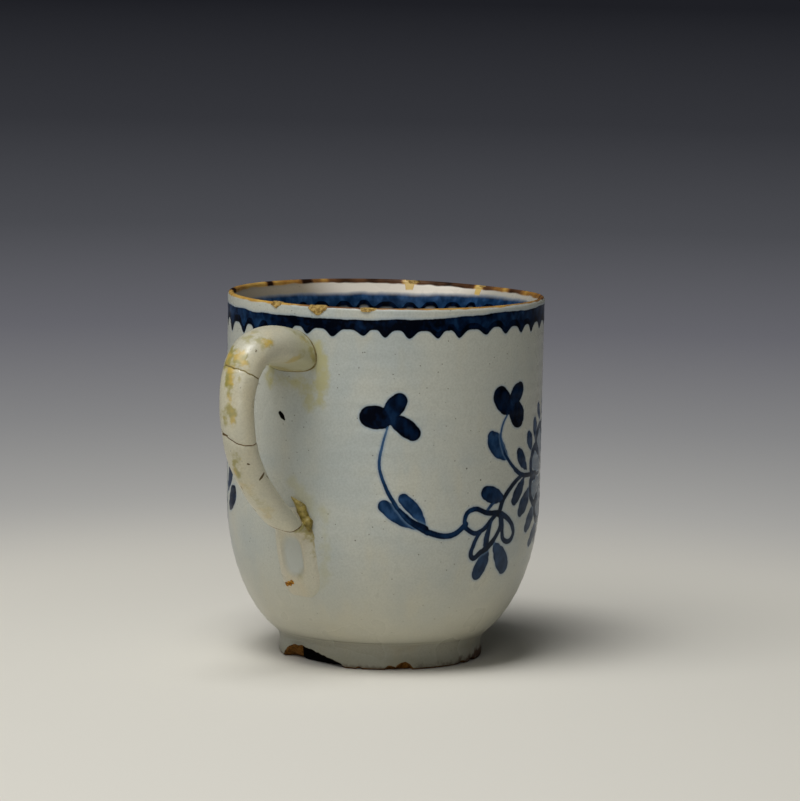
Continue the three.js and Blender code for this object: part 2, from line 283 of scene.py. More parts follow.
class Painting:
    """Marks on a surface rolled out flat, which come round again after a full turn."""

    FAR = 3.0

    def __init__(self, marks: Sequence[BrushMark], turn: float = 0.0) -> None:
        """Keeps the marks.

        Args:
            marks: All marks.
            turn: Length of a full turn, or 0 for a surface that doesn't close.
        """
        self.marks = list(marks)
        self.shifts = (-turn, 0.0, turn) if turn else (0.0,)

    def coat(self, layer: PaintLayer, places: Array) -> tuple[Array, Array]:
        """Works out one coat of paint.

        Args:
            layer: Which coat.
            places: Rows of two coordinates on the rolled-out surface.

        Returns:
            The distance to the edge of the paint, below 0 inside it, and the load of the nearest mark.
        """
        edge = np.full(len(places), self.FAR)
        load = np.zeros(len(places))
        for mark in self.marks:
            if mark.layer is not layer:
                continue
            centres, radii, loads = mark.dabs()
            for shift in self.shifts:
                self._lay(centres + [shift, 0.0], radii, loads, places, edge, load)
        return edge, load

    def _lay(self, centres: Array, radii: Array, loads: Array, places: Array, edge: Array,
             load: Array) -> None:
        """Adds one mark, given by its dabs, to the distances and loads found so far."""
        reach = radii.max() + 1.5
        low, high = centres.min(axis=0) - reach, centres.max(axis=0) + reach
        near = np.flatnonzero(np.all((places > low) & (places < high), axis=1))
        for part in np.array_split(near, max(1, len(near) // 4000)):
            if not len(part):
                continue
            gaps = np.linalg.norm(places[part][:, None] - centres[None], axis=2) - radii
            nearest = gaps.argmin(axis=1)
            found = gaps[np.arange(len(part)), nearest]
            closer = found < edge[part]
            edge[part] = np.where(closer, found, edge[part])
            load[part] = np.where(closer, loads[nearest], load[part])


class NodeSheet:
    """A node tree, with short calls for the nodes that the finishes are drawn with."""

    def __init__(self, tree: NodeTree) -> None:
        """Starts on an existing tree."""
        self.tree = tree

    @classmethod
    def emptied(cls, owner: Material | World) -> "NodeSheet":
        """Starts on the emptied tree of a material or a world."""
        owner.use_nodes = True
        owner.node_tree.nodes.clear()
        return cls(owner.node_tree)

    def node(self, kind: str, *sources: Source, **settings: object) -> Node:
        """Adds a node, gives its settings their values and feeds its first inputs in order."""
        made = self.tree.nodes.new(kind)
        for name, value in settings.items():
            setattr(made, name, value)
        for source, socket in zip(sources, made.inputs):
            self.feed(source, socket)
        return made

    def feed(self, source: Source, socket: Socket) -> None:
        """Links an output to a socket, or writes a plain value into it."""
        if isinstance(source, Socket):
            self.tree.links.new(source, socket)
        elif isinstance(source, tuple) and len(source) == 3 and socket.type == "RGBA":
            socket.default_value = linear(source)
        else:
            socket.default_value = source

    def fill(self, made: Node, given: dict[str, Source]) -> Node:
        """Feeds inputs of a node by their names."""
        for name, source in given.items():
            self.feed(source, made.inputs[name])
        return made

    def math(self, operation: str, *terms: Source, clamp: bool = False) -> Socket:
        """Works out one to three numbers."""
        return self.node("ShaderNodeMath", *terms, operation=operation, use_clamp=clamp).outputs[0]

    def plus(self, a: Source, b: Source, clamp: bool = False) -> Socket:
        """Adds a number to another."""
        return self.math("ADD", a, b, clamp=clamp)

    def minus(self, a: Source, b: Source) -> Socket:
        """Takes a number from another."""
        return self.math("SUBTRACT", a, b)

    def times(self, a: Source, b: Source) -> Socket:
        """Multiplies two numbers."""
        return self.math("MULTIPLY", a, b)

    def larger(self, a: Source, b: Source) -> Socket:
        """Picks the larger of two numbers."""
        return self.math("MAXIMUM", a, b)

    def vector(self, operation: str, a: Source, b: Source = (0.0, 0.0, 0.0)) -> Socket:
        """Works out one or two vectors."""
        made = self.node("ShaderNodeVectorMath", a, b, operation=operation)
        return made.outputs["Value" if operation in ("LENGTH", "DOT_PRODUCT") else "Vector"]

    def dot(self, place: Source, way: Source) -> Socket:
        """Gives how far a place lies along a way."""
        return self.vector("DOT_PRODUCT", place, way)

    def stretch(self, place: Source, scale: Source) -> Socket:
        """Scales a place along each axis."""
        return self.vector("MULTIPLY", place, scale)

    def step(self, value: Source, low: Source, high: Source, first: Source = 0.0,
             last: Source = 1.0) -> Socket:
        """Goes smoothly from first, where value is low, to last, where it is high."""
        ends = (low, high, first, last)
        return self.node("ShaderNodeMapRange", value, *ends, interpolation_type="SMOOTHSTEP").outputs[0]

    def noise(self, place: Source, grain: float, detail: float = 2.0, rough: float = 0.5) -> Socket:
        """Adds noise from 0 to 1 whose lumps measure about grain."""
        given = {"Vector": place, "Scale": 1.0 / grain, "Detail": detail, "Roughness": rough}
        return self.fill(self.node("ShaderNodeTexNoise"), given).outputs["Fac"]

    def cells(self, place: Source, grain: float) -> tuple[Socket, Socket]:
        """Gives the distance to the nearest of many scattered points, and its random colour."""
        made = self.fill(self.node("ShaderNodeTexVoronoi"), {"Vector": place, "Scale": 1.0 / grain})
        return made.outputs["Distance"], made.outputs["Color"]

    def specks(self, place: Source, grain: float, size: Point2, channel: int, chance: Point2) -> Socket:
        """Masks random specks: size and chance say where they start and end to show."""
        distance, colour = self.cells(place, grain)
        number = self.node("ShaderNodeSeparateColor", colour).outputs[channel]
        return self.times(self.step(distance, *size, 1.0, 0.0), self.step(number, *chance))

    def mix(self, share: Source, first: Source, second: Source, blend: str = "MIX") -> Socket:
        """Mixes two colours."""
        made = self.node("ShaderNodeMix", share, data_type="RGBA", blend_type=blend)
        self.feed(first, made.inputs[6])
        self.feed(second, made.inputs[7])
        return made.outputs[2]

    def ramp(self, value: Source, stops: Sequence[tuple[float, Colour]]) -> Socket:
        """Turns a number into a colour."""
        made = self.node("ShaderNodeValToRGB", value)
        elements = made.color_ramp.elements
        while len(elements) < len(stops):
            elements.new(0.5)
        for element, (place, colour) in zip(elements, stops):
            element.position = place
            element.color = linear(colour)
        return made.outputs[0]

    def attribute(self, name: str) -> Socket:
        """Reads a number that the mesh holds."""
        return self.node("ShaderNodeAttribute", attribute_name=name).outputs["Fac"]

    def group(self, effect: "Effect", **given: Source) -> dict[str, Socket]:
        """Places a shared effect, with its inputs given by name, and returns its outputs by name."""
        made = self.fill(self.node("ShaderNodeGroup", node_tree=effect.tree), given)
        return {socket.name: socket for socket in made.outputs}


class Effect:
    """A shared effect: a node group with named inputs and outputs, built once."""

    def __init__(self, name: str, inputs: dict[str, str], outputs: dict[str, str]) -> None:
        """Makes the empty group.

        Args:
            name: What the effect is called.
            inputs: Names of its inputs and their kinds: Float, Color or Vector.
            outputs: Names of its outputs and their kinds.
        """
        self.tree = bpy.data.node_groups.new(name, "ShaderNodeTree")
        for direction, sockets in (("INPUT", inputs), ("OUTPUT", outputs)):
            for socket, kind in sockets.items():
                self.tree.interface.new_socket(socket, in_out=direction, socket_type=f"NodeSocket{kind}")
        self.sheet = NodeSheet(self.tree)
        self.given = self.tree.nodes.new("NodeGroupInput").outputs
        self.result = self.tree.nodes.new("NodeGroupOutput").inputs

    def give(self, name: str, source: object) -> None:
        """Connects one output."""
        self.sheet.feed(source, self.result[name])


def build_cup_place(sizes: CupSizes) -> Effect:
    """Builds the effect that gives a place in millimetres, counted from the cup's axis."""
    effect = Effect("cup_place", {}, {"Place": "Vector", "Height": "Float", "Bearing": "Vector"})
    sheet = effect.sheet
    raw = sheet.node("ShaderNodeTexCoord").outputs["Object"]
    shifted = sheet.vector("SUBTRACT", raw, (sizes.axis_x * METRES, 0.0, 0.0))
    place = sheet.stretch(shifted, (1 / METRES, 1 / METRES, 1 / METRES))
    effect.give("Place", place)
    effect.give("Height", sheet.node("ShaderNodeSeparateXYZ", place).outputs["Z"])
    effect.give("Bearing", sheet.vector("NORMALIZE", sheet.stretch(place, (1.0, 1.0, 0.0))))
    return effect


def build_glaze_skin() -> Effect:
    """Builds the opaque white glaze: clouded colour, pinholes, dust specks and a faintly uneven surface."""
    inputs = {"Place": "Vector", "Body": "Color", "Cool": "Color", "Warm": "Color", "Specks": "Float"}
    effect = Effect("glaze_skin", inputs, {"Color": "Color", "Height": "Float", "Roughness": "Float"})
    sheet, given = effect.sheet, effect.given
    place = given["Place"]
    clouds = sheet.noise(place, 16.0, 3.0, 0.55)
    drift = sheet.noise(sheet.stretch(place, (1.0, 1.0, 0.35)), 5.0, 3.0)
    cool = sheet.mix(sheet.step(clouds, 0.42, 0.68), given["Body"], given["Cool"])
    colour = sheet.mix(sheet.step(drift, 0.5, 0.8, 0.0, 0.55), cool, given["Warm"])
    grain = sheet.noise(place, 0.35, 2.0)
    colour = sheet.mix(sheet.step(grain, 0.3, 0.75, 0.0, 0.14), colour, (118, 116, 102), "MULTIPLY")
    pinholes = sheet.times(sheet.specks(place, 1.5, (0.05, 0.11), 0, (0.35, 0.5)), given["Specks"])
    dust = sheet.times(sheet.specks(place, 5.2, (0.018, 0.042), 1, (0.5, 0.55)), given["Specks"])
    colour = sheet.mix(sheet.times(pinholes, 0.65), colour, (86, 82, 66))
    effect.give("Color", sheet.mix(sheet.times(dust, 0.75), colour, (60, 56, 42)))
    swell = sheet.times(sheet.noise(place, 2.6, 2.0), 0.035)
    peel = sheet.times(sheet.noise(place, 0.6, 1.0), 0.005)
    pits = sheet.times(sheet.larger(pinholes, dust), -0.03)
    effect.give("Height", sheet.plus(sheet.plus(swell, peel), pits))
    effect.give("Roughness", sheet.step(clouds, 0.3, 0.7, 0.25, 0.36))
    return effect


def build_biscuit() -> Effect:
    """Builds the bare fired clay that shows in chips: sandy, with soil in its hollows."""
    inputs = {"Place": "Vector", "Clay": "Color", "Soil": "Color"}
    effect = Effect("biscuit", inputs, {"Color": "Color", "Height": "Float"})
    sheet, place = effect.sheet, effect.given["Place"]
    lumps = sheet.noise(place, 0.7, 4.0, 0.65)
    colour = sheet.mix(sheet.step(lumps, 0.36, 0.6), effect.given["Soil"], effect.given["Clay"])
    effect.give("Color", sheet.mix(sheet.step(lumps, 0.4, 0.26, 0.0, 0.5), colour, (30, 18, 8)))
    effect.give("Height", sheet.times(sheet.noise(place, 0.3, 3.0, 0.7), 0.09))
    return effect


def build_cobalt() -> Effect:
    """Builds the blue: an uneven hand-painted edge that bleeds a little, and paint that pools and streaks."""
    inputs = {"Place": "Vector", "Edge": "Float", "Load": "Float", "Softness": "Float"}
    effect = Effect("cobalt", inputs, {"Color": "Color", "Mask": "Float", "Halo": "Float"})
    sheet, given = effect.sheet, effect.given
    place = given["Place"]
    wobble = sheet.times(sheet.minus(sheet.noise(place, 0.6, 2.0), 0.5), 0.12)
    edge = sheet.plus(given["Edge"], wobble)
    soft = given["Softness"]
    covered = sheet.minus(-0.1, soft)
    effect.give("Mask", sheet.step(edge, covered, sheet.plus(0.07, soft), 1.0, 0.0))
    effect.give("Halo", sheet.step(edge, 0.0, 0.5, 0.42, 0.0))
    streaks = sheet.noise(sheet.stretch(place, (1.0, 1.0, 0.7)), 1.4, 2.0, 0.5)
    pool = sheet.step(edge, -0.55, -0.05, 0.0, 0.06)
    density = sheet.plus(given["Load"], sheet.step(streaks, 0.3, 0.7, -0.07, 0.05))
    density = sheet.plus(density, pool, clamp=True)
    effect.give("Color", sheet.ramp(density, [
        (0.0, (170, 176, 180)), (0.25, (112, 132, 152)), (0.45, (72, 102, 130)), (0.62, (42, 74, 112)),
        (0.76, (19, 46, 78)), (0.88, (5, 24, 50)), (1.0, (0, 3, 14)),
    ]))
    return effect


def build_scallop_border() -> Effect:
    """Builds the painted border: a broad line with a row of darker arches hanging from it."""
    inputs = {"Place": "Vector", **dict.fromkeys(("Count", "Depth", "Top", "Length", "Wash"), "Float")}
    effect = Effect("scallop_border", inputs, {"Edge": "Float", "Load": "Float"})
    sheet, given = effect.sheet, effect.given
    drift = sheet.minus(sheet.noise(given["Place"], 5.0, 2.0), 0.5)
    depth = sheet.plus(given["Depth"], sheet.times(drift, 0.8))
    number = sheet.math("FLOOR", sheet.plus(given["Count"], 0.5))
    chance = sheet.fill(sheet.node("ShaderNodeTexWhiteNoise", noise_dimensions="1D"), {"W": number})
    length = sheet.plus(sheet.times(chance.outputs["Value"], 0.6), given["Length"])
    turn = sheet.times(given["Count"], 2 * pi)
    wave = sheet.math("MULTIPLY_ADD", sheet.math("COSINE", turn), 0.5, 0.5)
    cusp = sheet.math("POWER", sheet.larger(wave, 0.0), 1.9)
    lower = sheet.plus(sheet.times(cusp, length), 4.3)
    below = sheet.minus(depth, lower)
    edge = sheet.larger(below, sheet.minus(given["Top"], depth))
    over_arch = sheet.minus(sheet.minus(lower, 1.35), depth)
    slit = sheet.math("MINIMUM", over_arch, sheet.minus(depth, 3.6))
    shut = sheet.step(sheet.noise(given["Place"], 6.0, 1.0), 0.6, 0.66, 1.0, 0.0)
    slit = sheet.minus(slit, sheet.plus(shut, 0.38))
    effect.give("Edge", sheet.larger(edge, slit))
    dark = sheet.step(over_arch, 0.22, -0.22, 0.0, 0.98)
    patches = sheet.noise(given["Place"], 2.2, 2.0)
    wash = sheet.plus(given["Wash"], sheet.step(patches, 0.3, 0.7, -0.07, 0.07))
    effect.give("Load", sheet.larger(wash, dark))
    return effect


@dataclass
class Effects:
    """The shared effects that the finishes are made of, each built once."""

    sizes: CupSizes
    skin: Effect = field(default_factory=build_glaze_skin)
    biscuit: Effect = field(default_factory=build_biscuit)
    cobalt: Effect = field(default_factory=build_cobalt)
    border: Effect = field(default_factory=build_scallop_border)

    def __post_init__(self) -> None:
        """Builds the effect that needs the cup's place."""
        self.place = build_cup_place(self.sizes)


class Canvas(NodeSheet):
    """The tree of a finish, with the shared effects and where on the cup it is drawn."""

    def __init__(self, material: Material, effects: Effects) -> None:
        """Starts on the emptied tree of a material."""
        super().__init__(NodeSheet.emptied(material).tree)
        self.effects = effects
        spot = self.group(effects.place)
        self.place, self.height, self.bearing = (spot[name] for name in ("Place", "Height", "Bearing"))


@dataclass(frozen=True)
class Finish:
    """What every finish has: a name, and how strongly its dark and its pale parts mirror."""

    name: str
    dark_mirror: float = 0.03
    mirror: float = 0.42

    def start(self, effects: Effects) -> tuple[Material, Canvas]:
        """Makes the material, still empty."""
        material = bpy.data.materials.new(self.name)
        return material, Canvas(material, effects)

    def shade_with(self, sheet: Canvas, colour: Socket, rough: Socket, relief: Socket) -> None:
        """Makes the shader.

        Args:
            sheet: The material's tree.
            colour: The surface's colour. Dark parts mirror less.
            rough: Its roughness.
            relief: Its height in millimetres.
        """
        grey = sheet.node("ShaderNodeRGBToBW", colour).outputs[0]
        bump = sheet.node("ShaderNodeBump")
        sheet.fill(bump, {"Strength": 1.0, "Distance": METRES, "Height": relief})
        shader = sheet.fill(sheet.node("ShaderNodeBsdfPrincipled"), {
            "Base Color": colour,
            "Roughness": rough,
            "Specular IOR Level": sheet.step(grey, 0.0, 0.3, self.dark_mirror, self.mirror),
            "Normal": bump.outputs[0],
        })
        sheet.node("ShaderNodeOutputMaterial", shader.outputs[0])


@dataclass(frozen=True)
class Glaze(Finish):
    """A clouded glaze, with bare clay where it is chipped, with dark pits, and with painted shadow where its
    mesh marks it.

    Attributes:
        chip_fade: Distances to a chip's edge where clay starts to show and shows fully.
        pit_and_shadow_fade: The same for pits and for painted shadow.
    """

    body: Colour = (176, 174, 160)
    cool: Colour = (160, 162, 154)
    warm: Colour = (182, 172, 144)
    clay: Colour = (186, 122, 50)
    soil: Colour = (104, 56, 16)
    pit_and_shadow: Colour = (88, 72, 42)
    specks: float = 0.6
    chip_fade: Point2 = (0.05, -0.05)
    pit_and_shadow_fade: Point2 = (0.05, -0.06)

    def build(self, effects: Effects) -> Material:
        """Builds the material.

        Args:
            effects: The shared effects.

        Returns:
            The material, which reads the numbers that its mesh holds.
        """
        material, sheet = self.start(effects)
        tones = {"Body": self.body, "Cool": self.cool, "Warm": self.warm, "Specks": self.specks}
        skin = sheet.group(effects.skin, Place=sheet.place, **tones)
        clay = sheet.group(effects.biscuit, Place=sheet.place, Clay=self.clay, Soil=self.soil)
        bare = sheet.step(sheet.attribute("chip_edge"), *self.chip_fade)
        colour = sheet.mix(bare, self.painted(sheet, skin["Color"]), clay["Color"])
        colour, crust = self.covered(sheet, colour)
        # blemish_edge marks pits, and on the foot also painted shadow; both take the pit colour
        pit_and_shadow_mask = sheet.step(sheet.attribute("blemish_edge"), *self.pit_and_shadow_fade)
        rough = sheet.plus(skin["Roughness"], sheet.times(bare, 0.5), clamp=True)
        relief = sheet.plus(skin["Height"], sheet.times(clay["Height"], bare))
        self.shade_with(sheet, sheet.mix(pit_and_shadow_mask, colour, self.pit_and_shadow), rough, sheet.plus(relief, crust))
        return material

    def painted(self, sheet: Canvas, colour: Socket) -> Socket:
        """Gives the colour of the glaze with what is painted on it."""
        return colour

    def covered(self, sheet: Canvas, colour: Socket) -> tuple[Socket, Source]:
        """Gives the colour with what has crept over glaze and clay, and how thick that lies."""
        return colour, 0.0

    def stained(self, sheet: Canvas, grain: float, rough: float, spread: Point2, fade: Point2) -> Socket:
        """Gives how strongly old adhesive covers each place, with an edge that spread makes ragged."""
        cloud = sheet.noise(sheet.place, grain, 3.0, rough)
        reach = sheet.plus(sheet.attribute("stain_edge"), sheet.step(cloud, 0.3, 0.7, *spread))
        return sheet.times(sheet.step(reach, *fade), sheet.attribute("stain_load"))


@dataclass(frozen=True)
class PaintedGlaze(Glaze):
    """The bowl's tin glaze with its blue painting, brown lip, chips and stains."""

    body: Colour = (188, 190, 180)
    cool: Colour = (176, 182, 178)
    warm: Colour = (194, 190, 170)
    clay: Colour = (170, 142, 80)
    soil: Colour = (120, 94, 46)
    pit_and_shadow: Colour = (5, 3, 2)
    specks: float = 1.0
    chip_fade: Point2 = (0.05, -0.03)
    pit_and_shadow_fade: Point2 = (0.06, -0.04)
    low_white: Colour = (196, 189, 164)
    # painted shade: the wall darkens into its joint with the foot, towards the foot's own glaze colour
    foot_joint_shade: Colour = (158, 156, 140)
    # painted light and shade inside the bowl: the first colour is painted light towards the back, the next two
    # painted shade, darker and warmer to the left
    inside_painted_light: Colour = (228, 218, 204)
    inside_painted_shade: Colour = (170, 164, 152)
    inside_painted_shade_left: Colour = (128, 111, 86)
    stain: Colour = (172, 166, 114)
    halo: Colour = (104, 134, 164)
    # painted reflection: the pale floor mirrored in the blue low on the front
    floor_reflection_blue: Colour = (66, 72, 80)
    border_tops: Point2 = (1.5, 2.45)
    border_drop: float = 0.65
    arch_lengths: Point2 = (1.0, 1.8)
    inner_border_top: float = 1.65
    inner_border_drops: Point2 = (0.55, 1.53)
    inner_border_scale: float = 0.98
    inner_wash: float = -0.13
    inner_softness: float = 0.45

    def painted(self, sheet: Canvas, colour: Socket) -> Socket:
        """Gives the colour of the glaze with its tints, painting, stains, borders and lip."""
        border = sheet.node("ShaderNodeUVMap", uv_map="border").outputs[0]
        strip = sheet.node("ShaderNodeSeparateXYZ", border).outputs
        colour = self._tint(sheet, strip["Y"], colour)
        for layer in (PaintLayer.WASH, PaintLayer.LINE):
            edge, load = (sheet.attribute(f"{layer.value}_{part}") for part in ("edge", "load"))
            colour = self._brush(sheet, colour, edge, load, 0.0)
        share = self.stained(sheet, 2.4, 0.6, (-0.7, 0.9), (0.9, -1.2))
        colour = sheet.mix(share, colour, self.stain)
        colour = self._borders(sheet, strip["X"], strip["Y"], colour)
        return self._lip(sheet, strip["Y"], colour)

    def _tint(self, sheet: Canvas, down: Socket, colour: Socket) -> Socket:
        """Yellows the wall a little towards the foot, paints shade at its joint with the foot, and paints
        light and shade across the inside.
        """
        colour = sheet.mix(sheet.step(sheet.height, 24.0, 6.0, 0.0, 0.5), colour, self.low_white)
        # painted shade in the crease where the wall meets the foot, blending into the foot's glaze colour
        colour = sheet.mix(sheet.step(sheet.height, 6.6, 4.3, 0.0, 0.8), colour, self.foot_joint_shade)
        # painted shade inside, darker and warmer to the left, and painted light towards the back of the cup
        left = sheet.step(sheet.dot(sheet.place, (0.2, 0.98, 0.0)), 12.0, 25.0)
        shaded = sheet.mix(left, self.inside_painted_shade, self.inside_painted_shade_left)
        across = sheet.step(sheet.dot(sheet.place, (0.87, 0.49, 0.0)), 20.0, 26.0)
        within = sheet.step(down, -0.6, -1.2, 0.0, 0.75)
        return sheet.mix(within, colour, sheet.mix(across, shaded, self.inside_painted_light))

    def _brush(self, sheet: Canvas, colour: Socket, edge: Socket, load: Socket,
               soft: float) -> Socket:
        """Lays one coat of blue over the colour, greyed low on the front side by a painted reflection of the
        floor.
        """
        blue = sheet.group(sheet.effects.cobalt, Place=sheet.place, Edge=edge, Load=load, Softness=soft)
        colour = sheet.mix(blue["Halo"], colour, self.halo)
        # painted reflection of the pale floor, greying the blue low down on the front
        painted_floor_reflection = sheet.step(sheet.dot(sheet.place, (0.45, -0.78, -0.5)), 0.0, 12.0, 0.0, 0.5)
        return sheet.mix(blue["Mask"], colour, sheet.mix(painted_floor_reflection, blue["Color"], self.floor_reflection_blue))

    def _borders(self, sheet: Canvas, count: Socket, down: Socket, colour: Socket) -> Socket:
        """Lays the scalloped border outside and inside, with a thinner wash to the left of the handle.

        Args:
            sheet: The material's tree.
            count: How many scallops lie before a place.
            down: Its distance from the crest of the lip, above 0 outside.
            colour: The colour so far.

        Returns:
            The colour with both borders.
        """
        near_left = sheet.dot(sheet.bearing, (-0.87, 0.5, 0.0))
        thin = sheet.step(near_left, 0.86, 0.97)
        lowered = sheet.times(thin, self.border_drop)
        top = sheet.minus(sheet.step(near_left, -0.55, 0.6, *self.border_tops), lowered)
        length = sheet.step(near_left, 0.88, 0.97, *self.arch_lengths)
        middle = sheet.dot(sheet.bearing, (-0.94, -0.34, 0.0))
        wash = sheet.plus(sheet.step(middle, 0.72, 0.92, 0.87, 0.98), sheet.times(thin, -0.06))
        far_left = sheet.dot(sheet.bearing, (0.17, 0.98, 0.0))
        drop = sheet.step(far_left, 0.0, 0.7, *self.inner_border_drops)
        inside = sheet.minus(sheet.times(down, -self.inner_border_scale), drop)
        for depth, upper, soft, thinner in (
            (sheet.minus(down, lowered), top, 0.0, 0.0),
            (inside, self.inner_border_top, self.inner_softness, self.inner_wash),
        ):
            band = sheet.group(
                sheet.effects.border, Place=sheet.place, Count=count, Depth=depth, Top=upper,
                Length=length, Wash=sheet.plus(wash, thinner),
            )
            colour = self._brush(sheet, colour, band["Edge"], band["Load"], soft)
        return colour

    def _lip(self, sheet: Canvas, down: Socket, colour: Socket) -> Socket:
        """Paints the line along the lip: brown, and golden where the mesh's lip_tone is high."""
        wear = sheet.noise(sheet.place, 3.0, 1.0, 0.5)
        golden = sheet.attribute("lip_tone")
        ragged = sheet.plus(down, sheet.step(wear, 0.2, 0.8, -0.14, 0.14))
        wide = sheet.minus(ragged, sheet.step(golden, 0.5, 0.9, 0.0, 0.3))
        outside = sheet.step(wide, 0.42, 0.66, 1.0, 0.0)
        run = sheet.step(golden, 0.84, 0.96, 0.0, 1.1)
        inside = sheet.step(sheet.plus(ragged, run), -1.3, -0.95)
        patches = sheet.step(sheet.noise(sheet.place, 2.6, 2.0, 0.5), 0.25, 0.75, -0.13, 0.13)
        paint = sheet.ramp(sheet.plus(golden, patches, clamp=True), [
            (0.0, (34, 20, 12)), (0.3, (92, 62, 40)), (0.5, (146, 104, 48)), (0.72, (180, 142, 70)),
            (1.0, (204, 174, 102)),
        ])
        return sheet.mix(sheet.times(outside, inside), colour, paint)


@dataclass(frozen=True)
class ClayGlaze(Glaze):
    """A plain glaze that may have darker places and overpaint, where its mesh says so."""

    overpaint: Colour = (188, 161, 80)
    creep: Colour = (146, 138, 76)
    shade: Colour = (136, 142, 140)

    def painted(self, sheet: Canvas, colour: Socket) -> Socket:
        """Gives the colour of the glaze with its darker places: painted shade on foot and handle root, greyer
        glaze in the tail's hollow.
        """
        return sheet.mix(sheet.attribute("shade"), colour, self.shade)

    def covered(self, sheet: Canvas, colour: Socket) -> tuple[Socket, Source]:
        """Lays overpaint and crept adhesive over glaze and clay."""
        share = self.stained(sheet, 1.7, 0.55, (-0.8, 0.8), (0.6, -0.8))
        tone = sheet.step(sheet.noise(sheet.place, 2.6, 2.0), 0.4, 0.58)
        thick = sheet.mix(sheet.larger(tone, sheet.attribute("shade")), self.overpaint, self.creep)
        return sheet.mix(share, colour, thick), sheet.times(share, 0.04)


@dataclass(frozen=True)
class Adhesive(Finish):
    """Hardened adhesive that has darkened."""

    thin: Colour = (168, 150, 82)
    thick: Colour = (98, 86, 34)
    grit: Colour = (50, 40, 18)
    roughness: float = 0.3

    def build(self, effects: Effects) -> Material:
        """Builds the material."""
        material, sheet = self.start(effects)
        cloud = sheet.noise(sheet.place, 1.3, 3.0, 0.6)
        colour = sheet.mix(sheet.step(cloud, 0.3, 0.7), self.thick, self.thin)
        gritty = sheet.step(sheet.cells(sheet.place, 0.6)[0], 0.12, 0.05, 0.0, 0.4)
        rough = sheet.step(cloud, 0.2, 0.8, self.roughness, self.roughness + 0.2)
        relief = sheet.times(sheet.noise(sheet.place, 0.5, 3.0), 0.08)
        self.shade_with(sheet, sheet.mix(gritty, colour, self.grit), rough, relief)
        return material


class Glue(Enum):
    """The adhesives of the mends, by the colour that each has taken."""

    DARK = Adhesive("seam_adhesive", thin=(128, 102, 62), thick=(82, 58, 32), roughness=0.5)
    PALE = Adhesive("pale_adhesive", thin=(146, 134, 92), thick=(108, 96, 54))
    OLIVE = Adhesive("olive_adhesive")


@dataclass(frozen=True)
class Place:
    """Where a finished piece belongs: the CAD node that it stands for and that node's material slot."""

    node: str
    slot: str


def linked(name: str, data: ID) -> Object:
    """Adds an object to the scene."""
    made = bpy.data.objects.new(name, data)
    bpy.context.scene.collection.objects.link(made)
    return made


def as_mesh(name: str, shape: BMesh) -> Mesh:
    """Writes a shape to a new mesh and frees it."""
    mesh = bpy.data.meshes.new(name)
    shape.to_mesh(mesh)
    shape.free()
    return mesh


class Bench:
    """Turns a shape in millimetres into a piece of the scene."""

    def __init__(self, sizes: CupSizes) -> None:
        """Keeps the cup's place in the frame."""
        self.to_frame = Matrix.Translation((sizes.axis_x * METRES, 0, 0)) @ Matrix.Scale(METRES, 4)

    def finish(self, shape: BMesh, name: str, place: Place, material: Material, crease: float = 50.0,
               **numbers: Array) -> Object:
        """Makes the piece.

        Args:
            shape: The finished shape, which is freed.
            name: The piece's name.
            place: What it stands for.
            material: Its finish.
            crease: Angle in degrees past which an edge stays sharp.
            numbers: Numbers of each vertex that the finish reads, by their names.

        Returns:
            The object, riding on the cup.
        """
        mesh = as_mesh(name, shape)
        mesh.transform(self.to_frame)
        mesh.shade_smooth()
        mesh.set_sharp_from_angle(angle=radians(crease))
        mesh.materials.append(material)
        for label, values in numbers.items():
            layer = mesh.attributes.new(label, "FLOAT", "POINT")
            layer.data.foreach_set("value", np.asarray(values, np.float32))
        piece = linked(name, mesh)
        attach(piece, "root")
        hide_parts(place.node)
        log.info("%s: %d faces, stands for %s", name, len(mesh.polygons), place.node)
        return piece


def corners(shape: BMesh) -> Array:
    """Gives the places of all vertices as rows."""
    return np.array([vertex.co for vertex in shape.verts], float).reshape(-1, 3)


def place_corners(shape: BMesh, places: Array) -> None:
    """Moves all vertices."""
    for vertex, place in zip(shape.verts, places):
        vertex.co = place


def settle(shape: BMesh, places: Array) -> BMesh:
    """Moves all vertices to their places and turns the faces outwards."""
    place_corners(shape, places)
    bmesh.ops.recalc_face_normals(shape, faces=shape.faces)
    return shape


def spun(shape: BMesh, chain: list[BMVert], steps: int, closed: bool = False) -> BMesh:
    """Joins vertices to a line, closed or open, and spins it round the axis."""
    following = [*chain[1:], chain[0]] if closed else chain[1:]
    edges = [shape.edges.new(pair) for pair in zip(chain, following)]
    bmesh.ops.spin(
        shape, geom=[*chain, *edges], cent=(0, 0, 0), axis=(0, 0, 1), dvec=(0, 0, 0),
        angle=2 * pi, steps=steps, use_merge=True, use_duplicate=False,
    )
    bmesh.ops.remove_doubles(shape, verts=shape.verts, dist=1e-4)
    return shape


def bearings(places: Array) -> Array:
    """Gives the bearing of each place in degrees, from 0 to 360."""
    return np.degrees(np.arctan2(places[:, 1], places[:, 0])) % FULL_TURN


def degrees_past(bearing: Array, middle: float) -> Array:
    """Gives how far each bearing is past a middle one, from -180 to 180."""
    return (bearing - middle + 180.0) % FULL_TURN - 180.0


@dataclass(frozen=True)
class Chip:
    """A flake broken out of the lip.

    Attributes:
        bearing: Where it is round the cup.
        half_width: Half its width along the lip.
        drop: How far down it reaches.
        bite: How far it reaches into the wall.
        inner: True if it is on the inside of the lip.
    """

    bearing: float
    half_width: float
    drop: float
    bite: float
    inner: bool = False


@dataclass(frozen=True)
class LipSpot:
    """A stretch of the painted lip: where it is, half its length and how golden it is, below 0 for dark."""

    bearing: float
    half_length: float
    tone: float


